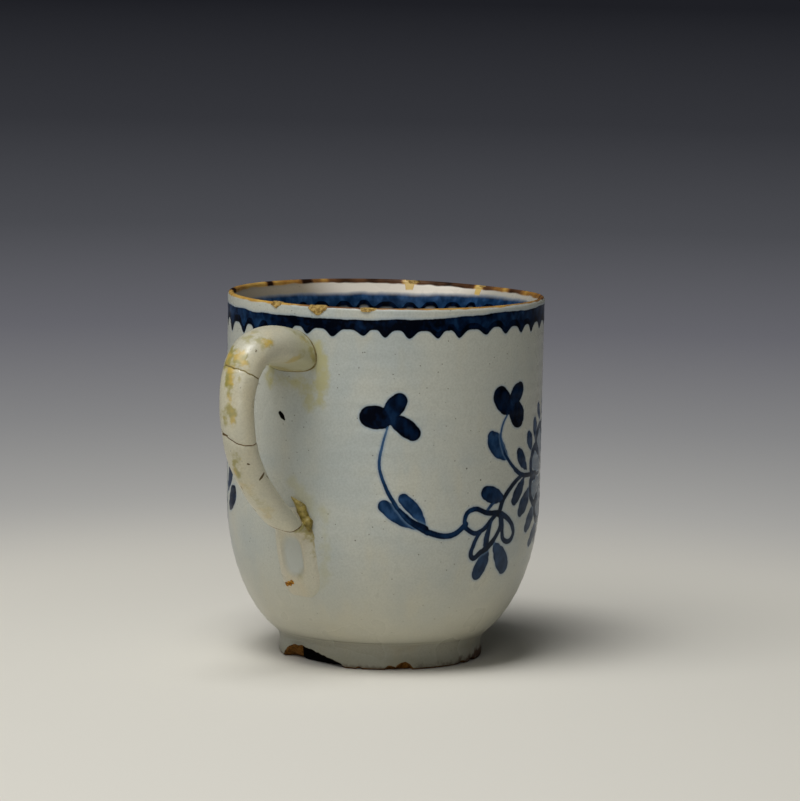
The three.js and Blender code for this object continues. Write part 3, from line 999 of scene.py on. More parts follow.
LIP_SPOTS = (
    LipSpot(152.0, 34.0, 0.42), LipSpot(95.0, 22.0, 0.3), LipSpot(196.0, 13.0, -0.05),
    LipSpot(252.0, 30.0, 0.25), LipSpot(318.0, 9.0, 0.1), LipSpot(330.0, 3.0, 0.3), LipSpot(342.0, 2.2, 0.3),
    LipSpot(26.0, 2.8, 0.85), LipSpot(356.6, 1.9, 0.8), LipSpot(121.0, 3.6, -0.95), LipSpot(86.5, 1.9, -0.8),
    LipSpot(67.5, 1.9, -0.7), LipSpot(30.0, 32.0, -0.2), LipSpot(336.0, 6.0, -0.25), LipSpot(8.0, 8.0, -0.15),
    LipSpot(60.0, 1.6, 0.3),
)


def lip_tone(bearing: Array, base: float = 0.36) -> Array:
    """Gives how golden the lip's paint is at each bearing, from 0 for dark brown to 1."""
    tone = np.full(len(bearing), base)
    for spot in LIP_SPOTS:
        tone += spot.tone * np.exp(-((degrees_past(bearing, spot.bearing) / spot.half_length) ** 4))
    return tone


def cusp_bearings() -> Array:
    """Gives the bearings where two arches of the border meet, spaced unevenly as by hand."""
    seen = [
        140.9, 153.3, 162.0, 170.2, 178.4, 186.2, 196.2, 207.3, 214.7, 223.2, 233.4, 241.5, 252.8, 262.4,
        271.8, 279.4, 288.6,
    ]
    pitch = 9.4
    count = round((FULL_TURN - seen[-1] + seen[0]) / pitch)
    unseen = np.linspace(seen[-1], seen[0] + FULL_TURN, count + 1)[1:-1]
    wander = 1.1 * np.sin(np.arange(len(unseen)) * 2.4)
    return np.concatenate([seen, unseen + wander, [seen[0] + FULL_TURN]])


class Sprays:
    """The blue flower sprays, as marks on the rolled-out wall.

    Places are millimetres round the wall from the handle and heights above the table. A leaf has its base,
    its tip, its width, its load, its bend and its bluntness. A stem has its points, both widths and loads.

    Attributes:
        CLOVER: The long stem next to the handle, with three petals at its top and two leaves at its bend.
        FERN: The shorter stem under the flower, with three petals, looped leaves and hanging leaves.
        SIDE: The small sprig behind the handle, which closes the round of flowers.
        CREPT: Adhesive that has crept over the glaze near the handle.
    """

    FLOWER = (61.0, 34.6)
    PETALS = 9
    HEART = 3.4
    PETAL_REACH = 9.6
    CLOVER = (
        (18.8, 46.75, 13.2, 47.45, 4.3, 1.0, 0.0, 0.92),
        (18.4, 46.3, 20.9, 51.4, 3.5, 0.93, 0.35),
        (18.2, 47.1, 24.0, 43.6, 3.3, 0.96, 0.25),
        ([(18.3, 45.6), (17.4, 42.2), (16.9, 38.4), (18.2, 34.4), (20.2, 31.0)], 0.42, 0.8, (0.5, 0.74)),
        ([(20.2, 31.0), (22.3, 28.7), (25.9, 26.5)], 0.7, 1.1, (0.76, 0.88)),
        (24.8, 27.2, 16.9, 31.9, 2.7, 0.74, 0.3),
        (25.4, 27.6, 20.7, 33.4, 2.35, 0.74, -0.3),
        BrushMark(((20.6, 30.8), (22.8, 28.6), (25.4, 27.2)), (0.5, 0.8, 1.2, 1.3), (0.84, 0.94)),
        ([(25.6, 26.7), (28.8, 25.8), (31.2, 26.1), (33.4, 27.7)], 1.15, 1.05, (0.84, 0.76)),
    )
    FERN = (
        (43.2, 47.2, 39.5, 51.6, 4.1, 0.97, 0.0, 0.95),
        (43.6, 47.8, 47.2, 52.1, 3.5, 0.92, 0.3, 0.75),
        (43.4, 48.5, 47.4, 44.5, 4.4, 0.99, 0.3, 0.6),
        (
            [(42.9, 47.0), (41.5, 45.1), (41.0, 43.0), (41.8, 40.5), (43.4, 38.4), (45.6, 36.5)],
            0.45, 0.75, (0.55, 0.8),
        ),
        ([(45.6, 36.5), (48.0, 35.3), (51.0, 35.0), (53.8, 35.0)], 0.95, 0.9),
        (43.0, 38.8, 38.0, 43.9, 3.6, 0.77, 0.4, 0.55),
        (49.8, 36.2, 46.2, 40.2, 2.5, 0.84, 0.2, 0.6),
        ([(48.0, 35.3), (45.7, 34.3), (43.3, 32.6), (42.0, 31.1), (41.0, 28.9)], 0.95, 1.1, (0.85, 0.97)),
        (42.2, 31.6, 36.6, 33.4, 3.1, 0.84),
        ([(40.7, 31.7), (39.2, 30.8), (37.9, 29.7)], 0.8, 0.6, (0.7, 0.7)),
        (
            [(40.9, 29.2), (38.1, 29.4), (35.6, 30.3), (33.7, 29.8), (33.1, 28.4), (33.5, 26.9)],
            1.05, 0.9, (0.92, 0.76),
        ),
        ([(33.5, 26.9), (35.4, 25.9), (37.6, 26.6), (39.4, 28.2), (40.8, 29.3)], 0.9, 1.0, (0.8, 0.88)),
        (
            [(39.5, 28.1), (36.6, 25.9), (35.3, 23.6), (35.0, 22.0), (35.8, 21.3), (37.3, 22.3)],
            0.65, 1.15, (0.72, 0.9),
        ),
        ([(37.3, 22.3), (38.5, 23.5), (38.7, 25.4), (39.1, 27.6), (40.4, 29.2)], 0.85, 0.75, (0.88, 0.76)),
        ([(41.3, 29.0), (41.6, 26.7), (40.5, 24.7), (38.9, 23.1), (37.8, 22.5)], 0.8, 1.2, (0.84, 0.96)),
        ([(39.4, 27.9), (38.2, 25.6), (38.0, 23.6)], 0.6, 0.8, (0.7, 0.82)),
        (
            [(41.9, 28.9), (44.3, 27.4), (45.8, 25.3), (45.3, 23.9), (43.9, 23.6), (42.5, 24.7), (42.0, 28.4)],
            1.05, 0.95, (0.84, 0.8),
        ),
        (38.9, 22.4, 36.7, 17.2, 3.1, 0.79),
        (40.4, 23.6, 45.3, 17.8, 3.4, 0.72),
        (48.9, 34.6, 44.9, 30.2, 2.6, 0.86, 0.0, 0.7),
        (51.6, 32.6, 47.1, 27.9, 3.0, 0.8, 0.0, 0.7),
        (54.6, 29.4, 50.3, 24.6, 2.9, 0.7, 0.0, 0.7),
        (58.3, 26.0, 53.3, 21.6, 3.0, 0.64, 0.0, 0.7),
        (54.9, 40.2, 53.1, 45.2, 2.4, 0.72, 0.0, 0.7),
        (51.9, 39.6, 50.1, 43.0, 2.5, 0.78, 0.0, 0.7),
    )
    SIDE = (
        (-20.8, 27.2, -16.7, 31.6, 3.6, 0.9, 0.0, 0.6),
        (-22.2, 30.4, -18.8, 35.6, 3.0, 0.82, 0.0, 0.6),
        (-23.6, 35.4, -21.4, 39.8, 1.9, 0.8),
        ([(-24.6, 38.2), (-23.4, 33.8), (-23.0, 29.2), (-24.6, 24.6), (-28.4, 22.2)], 0.35, 0.8, (0.6, 0.85)),
        ([(-28.4, 22.2), (-34.0, 22.8), (-39.0, 26.4), (-42.0, 32.4), (-43.4, 39.0)], 0.8, 0.4, (0.85, 0.6)),
        (-27.4, 22.4, -24.8, 17.8, 2.2, 0.62),
        (-31.0, 22.0, -30.6, 17.0, 2.4, 0.6),
        (-36.6, 24.4, -41.2, 21.4, 2.5, 0.64),
        (-38.6, 25.8, -36.0, 31.2, 2.4, 0.62),
        (-43.2, 39.6, -48.2, 41.6, 3.6, 0.96),
        (-43.2, 39.2, -43.8, 45.2, 3.5, 0.9),
        (-43.4, 39.6, -38.2, 41.8, 3.3, 0.97),
        (-42.4, 31.6, -47.4, 29.0, 2.2, 0.8),
    )
    CREPT = (
        (((4.7, 60.2), (5.6, 58.0), (5.9, 54.7), (6.1, 48.8)), (1.8, 3.0, 2.8, 1.4), (0.8, 0.75)),
        (((3.4, 52.2), (3.6, 50.0), (3.9, 48.0)), (1.6, 2.6, 1.8), (0.7, 0.6)),
        (((-4.4, 55.4), (-4.6, 53.5), (-4.7, 50.9)), (1.6, 2.2, 0.8), (1.0, 0.9)),
        (((-3.6, 53.8), (0.0, 52.6), (4.4, 53.6)), (1.0, 1.6, 1.0), (0.8, 0.7)),
        (((0.6, 34.6), (2.6, 32.4), (5.2, 29.4)), (2.4, 3.0, 2.0), (0.35, 0.3)),
        (((6.8, 30.6), (7.4, 26.4), (7.0, 20.0), (6.6, 16.0)), (1.0, 1.4, 1.4), (0.4, 0.3)),
    )

    def marks(self) -> list[BrushMark]:
        """Gives every mark round the cup, with the slit in the glaze near the handle."""
        front = [stroke(row) for row in (*self.CLOVER, *self.FERN)]
        back = [mark.mirrored(self.FLOWER[0]) for mark in front]
        side = [stroke(row) for row in self.SIDE]
        stains = [BrushMark(*row, PaintLayer.STAIN) for row in self.CREPT]
        path = ((-2.5, 46.75), (-2.1, 46.35), (-1.5, 45.7))
        slit = BrushMark(path, (0.7, 0.95, 0.45), (1.0, 1.0), PaintLayer.BLEMISH)
        return [*front, *self.flower(), *self.rays(), *back, *side, *stains, slit]

    def flower(self) -> list[BrushMark]:
        """The round flower between the two sprays: outlined petals about a dotted heart."""
        centre = np.array(self.FLOWER)
        half = pi / self.PETALS
        made = []
        for number in range(self.PETALS):
            middle = pi + half + 2 * half * number
            shape = [(-0.95, 0.68), (-0.8, 0.92), (0.0, 1.0), (0.8, 0.92), (0.95, 0.68)]
            outline = [self._around(centre, middle + half * a, self.PETAL_REACH * r) for a, r in shape]
            made.append(stem(outline, 1.5, 1.3, (0.78, 0.84)))
            inner = self._around(centre, middle, self.HEART + 0.6)
            outer = self._around(centre, middle, self.PETAL_REACH - 1.6)
            made.append(BrushMark((inner, outer), (1.2, 3.4, 3.0), (0.16, 0.26), PaintLayer.WASH))
            seam = self._around(centre, middle - half, self.PETAL_REACH * 0.68)
            made.append(stem([self._around(centre, middle - half, self.HEART), seam], 0.6, 0.8, (0.68, 0.74)))
            dot = self._around(centre, middle, self.HEART * 0.55)
            made.append(BrushMark((dot, (dot[0] + 0.15, dot[1] - 0.1)), (0.6, 0.7, 0.6), (0.85, 0.9)))
        ring = [self._around(centre, 2 * pi * step / 12, self.HEART) for step in range(13)]
        return [*made, stem(ring, 0.4, 0.4, (0.75, 0.8))]

    def rays(self) -> list[BrushMark]:
        """Short strokes that spread outwards round the flower."""
        centre = np.array(self.FLOWER)
        made = []
        for number, degrees in enumerate((70, 90, 110, 252, 270, 288)):
            angle = radians(degrees)
            reach = 14.2 - 0.8 * (number % 2)
            base = self._around(centre, angle, self.PETAL_REACH + 0.9)
            tip = self._around(centre, angle + 0.07, reach)
            made.append(petal(base, tip, 2.0, 0.72 if number % 3 else 0.64))
        return made

    @staticmethod
    def _around(centre: Array, angle: float, reach: float) -> Point2:
        """Gives the place at an angle and a distance from a centre."""
        return (float(centre[0] + reach * cos(angle)), float(centre[1] + reach * sin(angle)))


@dataclass
class Bowl:
    """The thrown bowl: walls, lip and base in one closed piece."""

    sizes: CupSizes
    columns: int = 256
    row: float = 0.75
    wall_scale: float = 28.9
    slack: float = 0.42
    slack_bearing: float = 345.0
    slack_width: float = 38.0
    pit_depth: float = 0.22
    chips: tuple[Chip, ...] = (
        Chip(172.6, 1.15, 0.85, 0.9),
        Chip(190.2, 1.75, 1.5, 1.1),
        Chip(208.6, 1.4, 0.7, 0.8),
        Chip(24.6, 1.5, 0.9, 0.6, inner=True),
        Chip(355.3, 1.0, 0.7, 0.5, inner=True),
    )

    def __post_init__(self) -> None:
        """Works out the turned outline and the painting on it."""
        self.outline = self._outline()
        crest = int(np.argmax(self.outline[:, 1]))
        along = lengths_along(self.outline)
        self.path = along[crest] - along
        turn = 2 * pi * self.wall_scale
        self.painting = Painting(Sprays().marks(), turn)

    def _outline(self) -> Array:
        """Gives the outline as rows of radius and height, from under the base over the lip to the floor."""
        s = self.sizes
        lower = s.lower_wall()
        radius = s.lip / 2
        turn = np.linspace(0, pi, 25)
        lip = np.stack([
            s.rim_radius - radius + radius * np.cos(turn), s.height - radius + radius * np.sin(turn)
        ], axis=1)
        way = np.gradient(lower, axis=0)
        way /= np.linalg.norm(way, axis=1)[:, None]
        inner = (lower + np.stack([-way[:, 1], way[:, 0]], axis=1) * s.wall)[::-1]
        floor_top = s.foot_height + s.floor_thickness
        inner = inner[inner[:, 1] > floor_top + 1.2]
        bend = bezier([tuple(inner[-1]), (inner[-1][0] - 1.6, floor_top), (inner[-1][0] - 5.0, floor_top)],
                      np.linspace(0, 1, 10))
        neck = [[s.shoulder_radius - s.wall, s.height - s.lip_depth]]
        under = np.stack([np.linspace(0.0, lower[0][0], 12), np.full(12, s.foot_height)], axis=1)[:-1]
        floor = np.stack([np.linspace(bend[-1][0], 0.0, 12), np.full(12, floor_top)], axis=1)[1:]
        return np.vstack([under, lower, lip, neck, inner, bend[1:], floor])

    def at(self, path: Array) -> tuple[Array, Array]:
        """Gives radius and height at distances from the crest of the lip, above 0 outside."""
        known = self.path[::-1]
        radius = np.interp(path, known, self.outline[::-1, 0])
        height = np.interp(path, known, self.outline[::-1, 1])
        return radius, height

    def rows(self) -> Array:
        """Gives the distances from the crest at which the wall has a row of vertices."""
        lip = np.arange(-1.8, 1.81, 0.2)
        outside = np.arange(2.2, self.path[0] - 1.0, self.row)
        inside = np.arange(-2.4, self.path[-1] + 1.5, -1.1)
        return np.sort(np.concatenate([[self.path[-1]], inside, lip, outside, [self.path[0]]]))

    def turned(self) -> BMesh:
        """Spins the outline round the axis. Each vertex keeps its distance from the crest."""
        shape = bmesh.new()
        layer = shape.verts.layers.float.new("path")
        rows = self.rows()
        chain = [shape.verts.new((radius, 0.0, height)) for radius, height in zip(*self.at(rows))]
        for vertex, path in zip(chain, rows):
            vertex[layer] = path
        return spun(shape, chain, self.columns)

    def wall_places(self, shape: BMesh) -> tuple[Array, Array]:
        """Gives each vertex's bearing in degrees and its distance from the crest."""
        layer = shape.verts.layers.float["path"]
        return bearings(corners(shape)), np.array([vertex[layer] for vertex in shape.verts])

    def rolled_out(self, bearing: Array, path: Array) -> Array:
        """Gives places on the rolled-out wall. Those not on the outside lie far below it."""
        across = np.radians(degrees_past(bearing, HANDLE_BEARING)) * self.wall_scale
        height = np.where(path > 0, self.at(path)[1], -100.0)
        return np.stack([across, height], axis=1)

    def chip_depth(self, places: Array) -> tuple[Array, Array]:
        """Carves the chips.

        Args:
            places: Rows of three coordinates.

        Returns:
            The places after carving, and the distance to the edge of the nearest chip, below 0 inside.
        """
        s = self.sizes
        carved = places.copy()
        edge = np.full(len(places), 3.0)
        for number, chip in enumerate(self.chips):
            angle = radians(chip.bearing)
            outward = np.array([cos(angle), sin(angle), 0.0])
            along = np.array([-sin(angle), cos(angle), 0.0])
            radius = s.rim_radius - s.lip + 0.35 if chip.inner else s.rim_radius - 0.35
            centre = outward * radius + np.array([0.0, 0.0, s.height - 0.15])
            near = np.flatnonzero(np.linalg.norm(places - centre, axis=1) < 3.5)
            gap = places[near] - centre
            sides = np.stack([gap @ along, gap @ outward, gap[:, 2]], axis=1)
            sides /= np.array([chip.half_width, chip.bite, chip.drop])
            ragged = smooth_noise(places[near], 0.55, number + 3) * 0.22
            reach = (np.abs(sides) ** 1.6).sum(axis=1) ** (1 / 1.6) + ragged
            inside = reach < 1.0
            size = min(chip.half_width, chip.drop)
            edge[near] = np.minimum(edge[near], (reach - 1.0) * size)
            push = gap / np.maximum(reach, 0.25)[:, None]
            carved[near[inside]] = (centre + push)[inside]
        return carved, edge

    def wear(self, bearing: Array, path: Array) -> Array:
        """Gives the finished places: the turned shape with throwing rings, a slack rim and soft dents.

        Args:
            bearing: Bearing of each vertex.
            path: Its distance from the crest.

        Returns:
            Rows of three coordinates.
        """
        radius, height = self.at(path)
        (wide, high), (narrow, low) = (self.at(path + shift) for shift in (0.05, -0.05))
        way = np.stack([wide - narrow, high - low], axis=1)
        way /= np.maximum(np.linalg.norm(way, axis=1), 1e-9)[:, None]
        angle = np.radians(bearing)
        rings = 0.022 * np.sin(path * 2.1 + angle) + 0.016 * np.sin(path * 3.7 - 2 * angle + 1.0)
        dents = 0.05 * np.sin(2 * angle + path * 0.05) + 0.035 * np.sin(3 * angle - path * 0.11 + 2.0)
        calm = smoothstep(radius, 4.0, 12.0) * smoothstep(np.abs(height - self.sizes.foot_height), 0.0, 2.0)
        lift = (rings + dents - 0.09) * calm
        radius = radius - way[:, 1] * lift
        height = height + way[:, 0] * lift * np.where(np.abs(path) < 2.0, 0.0, 1.0)
        sunk = self.slack * np.exp(-((degrees_past(bearing, self.slack_bearing) / self.slack_width) ** 2))
        slack = sunk + 0.06 * (1 + np.sin(2 * angle + 0.6))
        height = height - slack * smoothstep(height, 38.0, self.sizes.height)
        return np.stack([radius * np.cos(angle), radius * np.sin(angle), height], axis=1)

    def refined(self, shape: BMesh) -> BMesh:
        """Divides the faces where paint ends or a chip is, so that edges come out sharp."""
        for margin, chip_margin in ((0.75, 1.6), (0.4, 0.9), (-1.0, 0.45)):
            bearing, path = self.wall_places(shape)
            flat = self.rolled_out(bearing, path)
            wanted = self.chip_depth(self.wear(bearing, path))[1] < chip_margin
            if margin > 0:
                for layer in PaintLayer:
                    if layer is not PaintLayer.STAIN:
                        wanted |= np.abs(self.painting.coat(layer, flat)[0]) < margin
            marked = {vertex for vertex, want in zip(shape.verts, wanted) if want}
            faces = [face for face in shape.faces if len(face.verts) > 3 and marked.intersection(face.verts)]
            edges = list(dict.fromkeys(edge for face in faces for edge in face.edges))
            bmesh.ops.subdivide_edges(shape, edges=edges, cuts=1, use_grid_fill=True)
        return shape

    def build(self, bench: Bench, material: Material) -> Object:
        """Builds and dresses the bowl."""
        shape = self.refined(self.turned())
        bearing, path = self.wall_places(shape)
        flat = self.rolled_out(bearing, path)
        numbers = {}
        for layer in PaintLayer:
            numbers[f"{layer.value}_edge"], numbers[f"{layer.value}_load"] = self.painting.coat(layer, flat)
        places, chip_edge = self.chip_depth(self.wear(bearing, path))
        pit = self.pit_depth * smoothstep(-numbers["blemish_edge"], -0.05, 0.15)
        places[:, :2] *= (1 - pit / self.sizes.rim_radius)[:, None]
        settle(shape, places)
        loops = np.array([loop.vert.index for face in shape.faces for loop in face.loops])
        sides = np.array([len(face.loops) for face in shape.faces])
        place = Place("bowl", "bowl_glaze")
        numbers |= {"chip_edge": chip_edge, "lip_tone": lip_tone(bearing)}
        piece = bench.finish(shape, "bowl_glazed", place, material, crease=80.0, **numbers)
        self.write_maps(piece, bearing, path, loops, sides)
        return piece

    def write_maps(self, piece: Object, bearing: Array, path: Array,
                   loops: Array, sides: Array) -> None:
        """Writes the two maps of the wall.

        Args:
            piece: The finished bowl.
            bearing: Bearing of each vertex.
            path: Distance of each vertex from the crest.
            loops: Vertex of each face corner.
            sides: Number of corners of each face.
        """
        starts = np.concatenate([[0], np.cumsum(sides)[:-1]])
        turned = bearing[loops]
        low = np.minimum.reduceat(turned, starts)
        high = np.maximum.reduceat(turned, starts)
        across_seam = np.repeat(high - low > 180.0, sides)
        turned = np.where(across_seam & (turned < 180.0), turned + FULL_TURN, turned)
        cusps = cusp_bearings()
        known = np.concatenate([cusps - FULL_TURN, cusps[1:]])
        count = np.interp(turned, known, np.arange(len(known), dtype=float))
        border = piece.data.uv_layers.new(name="border")
        border.data.foreach_set("uv", np.stack([count, path[loops]], axis=1).astype(np.float32).ravel())
        baked = piece.data.uv_layers.new(name="OFBake")
        baked.data.foreach_set("uv", self.unrolled(turned, path[loops], starts, sides).ravel())
        baked.active = True

    def unrolled(self, turned: Array, path: Array, starts: Array,
                 sides: Array) -> Array:
        """Gives the map for baking: two strips for the walls and two discs for the floor and the base."""
        outer_end = self.path[0] - self.sizes.foot_radius - self.sizes.base_overhang + 0.6
        inner_end = self.path[-1] + self.sizes.foot_radius + 1.0
        scale = 1.0 / (2 * pi * self.sizes.rim_radius)
        middle = np.add.reduceat(path, starts) / sides
        region = np.select([middle > outer_end, middle > 0, middle > inner_end], [0, 1, 2], 3)
        region = np.repeat(region, sides)
        across = turned / (FULL_TURN + 2.0)
        outer_top = 0.012 + outer_end * scale
        inner_top = outer_top + 0.024 - inner_end * scale
        radius = self.at(path)[0]
        spin = np.radians(turned)
        disc = 0.5 * (1.0 - inner_top) - 0.012
        shrink = min(disc / (self.sizes.foot_radius + 4.0), scale)
        disc_y = inner_top + 0.012 + disc
        flat_x, flat_y = radius * shrink * np.cos(spin), radius * shrink * np.sin(spin)
        u = np.select([region == 0, region == 3], [0.2 + flat_x, 0.7 + flat_x], across)
        v = np.select(
            [region == 0, region == 3, region == 1],
            [disc_y + flat_y, disc_y + flat_y, outer_top - path * scale],
            outer_top + 0.012 - path * scale,
        )
        return np.stack([u, v], axis=1).astype(np.float32)


@dataclass
class FootRing:
    """The turned foot, with a large piece missing under the handle and small chips along its edge."""

    sizes: CupSizes
    columns: int = 420
    chip_bearing: float = 164.0
    chip_before: float = 6.4
    chip_after: float = 9.9
    chip_flat: float = 0.9
    clay_left: float = 1.25
    fillet: float = 3.2
    sunk: float = 0.14
    bowl_slope: float = 33.0
    # a dark brown stain low on the right of the foot, which also stands in for the shade on that side
    stain_and_shade_bearing: float = 292.0
    stain_and_shade_width: float = 27.0
    nibbles: tuple[tuple[float, float, float], ...] = (
        (203.0, 0.5, 0.3), (221.0, 1.0, 0.6), (228.5, 1.6, 1.25), (268.0, 1.0, 0.35), (279.0, 1.2, 0.5),
        (304.0, 1.8, 0.5), (20.0, 1.5, 0.5), (78.0, 1.1, 0.4),
    )

    def outline(self) -> Array:
        """Gives the section as rows of radius and height, once round."""
        s = self.sizes
        inner, outer = s.foot_radius - s.foot_width, s.foot_radius + s.foot_flare
        edge, top = s.foot_edge, s.foot_height
        turn = np.linspace(0, pi / 2, 5)
        toe = [(inner + edge - edge * cos(a), edge - edge * sin(a)) for a in turn]
        heel = [(outer - edge + edge * sin(a), edge - edge * cos(a)) for a in turn]
        slope = radians(self.bowl_slope)
        touch = (self.fillet * (1 - sin(slope)), s.base_overhang)
        tangent = top + (touch[0] - touch[1]) * tan(slope) + self.sunk
        middle = (s.foot_radius + self.fillet, tangent - self.fillet * cos(slope))
        side = [(lerp(outer, s.foot_radius, t), lerp(edge, middle[1], t)) for t in np.linspace(0, 1, 7)[1:]]
        bend = np.linspace(pi, pi / 2 + slope, 9)[1:]
        side += [(middle[0] + self.fillet * cos(a), middle[1] + self.fillet * sin(a)) for a in bend]
        overlap = [(s.foot_radius, top + 0.15), (inner + 0.3, top + 0.05)]
        back = [(inner, lerp(top, edge, t)) for t in np.linspace(0, 1, 7)[:-1]]
        under = [(lerp(inner + edge, outer - edge, t), 0.0) for t in np.linspace(0, 1, 8)[1:-1]]
        return np.array([*toe, *under, *heel, *side, *overlap, *back])

    def missing(self, bearing: Array, share: Array) -> Array:
        """Gives the height up to which clay is missing.

        Args:
            bearing: Where round the cup.
            share: 0 at the inner face of the ring and 1 at the outer.

        Returns:
            A height above the table for each place.
        """
        s = self.sizes
        away = np.radians(degrees_past(bearing, self.chip_bearing)) * s.foot_radius
        height = s.foot_height - self.clay_left
        before = np.clip(1 + away / self.chip_before, 0, 1)
        after = np.clip(1 - (away - self.chip_flat) / (self.chip_after - self.chip_flat), 0, 1)
        outer = height * np.where(away < 0, 1 - (1 - before) ** 2.4, after**0.68)
        steep = smoothstep(away, -3.0, -0.8)
        face = np.clip((share - lerp(0.1, 0.3, steep)) / lerp(0.85, 0.3, steep), 0, 1)
        gone = outer * lerp(0.04, 1.0, face * face * (3 - 2 * face))
        for place, half_width, drop in self.nibbles:
            side = np.radians(degrees_past(bearing, place)) * s.foot_radius
            bump = np.clip(1 - (side / half_width) ** 2, 0, 1) ** 0.7
            gone = np.maximum(gone, drop * bump * smoothstep(share, 0.62, 0.95))
        return gone

    def build(self, bench: Bench, material: Material) -> Object:
        """Builds and dresses the foot, with painted shade towards its bottom and painted shadow in its
        broken-out gap.

        Args:
            bench: Makes the piece.
            material: Its finish.

        Returns:
            The piece.
        """
        s = self.sizes
        shape = bmesh.new()
        chain = [shape.verts.new((radius, 0.0, height)) for radius, height in self.outline()]
        spun(shape, chain, self.columns, closed=True)
        bmesh.ops.recalc_face_normals(shape, faces=shape.faces)
        places = corners(shape)
        bearing = bearings(places)
        share = np.hypot(places[:, 0], places[:, 1]) - s.foot_radius + s.foot_width
        share /= s.foot_width + s.foot_flare
        gone = self.missing(bearing, share)
        ragged = smooth_noise(places, 0.8, 5) * 0.22 + smooth_noise(places, 0.3, 6) * 0.1
        gone = np.maximum(0.0, gone + ragged * smoothstep(gone, 0.05, 0.6))
        low = np.minimum(places[:, 2], s.foot_height)
        squeezed = gone + low * (s.foot_height - gone) / s.foot_height
        under = smoothstep(share, 1.02, 0.95)
        chipped = np.where(gone > 0.05, low - 0.12 - 0.4 * under - 0.1 * smoothstep(gone, 0.0, 1.0), 1.0)
        worn = low - 0.14 - 0.3 * under - 0.16 * smooth_noise(places, 1.6, 8)
        places[:, 2] = np.where(places[:, 2] > s.foot_height, places[:, 2], squeezed)
        place_corners(shape, places)
        # dark brown stain on the right, low on the foot: a real stain that also stands in for painted shade
        right = np.exp(-(((bearing - self.stain_and_shade_bearing) / self.stain_and_shade_width) ** 2))
        away = np.radians(degrees_past(bearing, self.chip_bearing)) * s.foot_radius
        # painted shadow: black over the face deep in the broken-out gap; black also along the lowest 0.35 mm
        # wherever clay is chipped away
        gap_shadow = np.maximum(1.4 - away - 5.5 * (1 - share) - 2 * ragged, away - self.chip_after + 0.2)
        return bench.finish(
            shape, "foot_turned", Place("foot_ring", "foot_glaze"), material, crease=45.0,
            chip_edge=np.minimum(chipped, worn),
            # painted shade: the glaze darkens towards the bottom of the foot
            shade=smoothstep(-places[:, 2], -4.6, -1.2) * 0.6,
            stain_edge=places[:, 2] - 0.4 - 1.2 * right,
            stain_load=0.5 + 0.5 * right,
            blemish_edge=np.maximum(gap_shadow, np.where(gone > 0.08, low - 0.35, 1.0)),
        )


@dataclass(frozen=True)
class Break:
    """A broken face across the handle.

    Attributes:
        station: Where the break starts, along the centreline.
        across: How much it slants from one side of the strap to the other.
        through: How much it slants from the inner face to the outer.
        ragged: Height of its unevenness.
        seed: Picks the unevenness.
        ridge: Height of a ridge that runs through the strap.
        ridge_across: Where that ridge is, from side to side.
    """

    station: float
    across: float = 0.0
    through: float = 0.0
    ragged: float = 0.16
    seed: int = 1
    ridge: float = 0.0
    ridge_across: float = 0.0

    def at(self, across: Array, through: Array) -> Array:
        """Gives the stations along the centreline where the face lies, at places of the section."""
        wave = np.sin(across * 1.9 + self.seed) * 0.6
        wave = wave + np.sin(across * 4.3 + through * 2.1 + 2 * self.seed) * 0.4
        ridge = self.ridge * np.exp(-(((across - self.ridge_across) / 0.9) ** 2))
        return self.station + (self.across * across + self.through * through + self.ragged * wave + ridge)

    def after(self, distance: float) -> "Break":
        """The same face, further along."""
        return replace(self, station=self.station + distance)


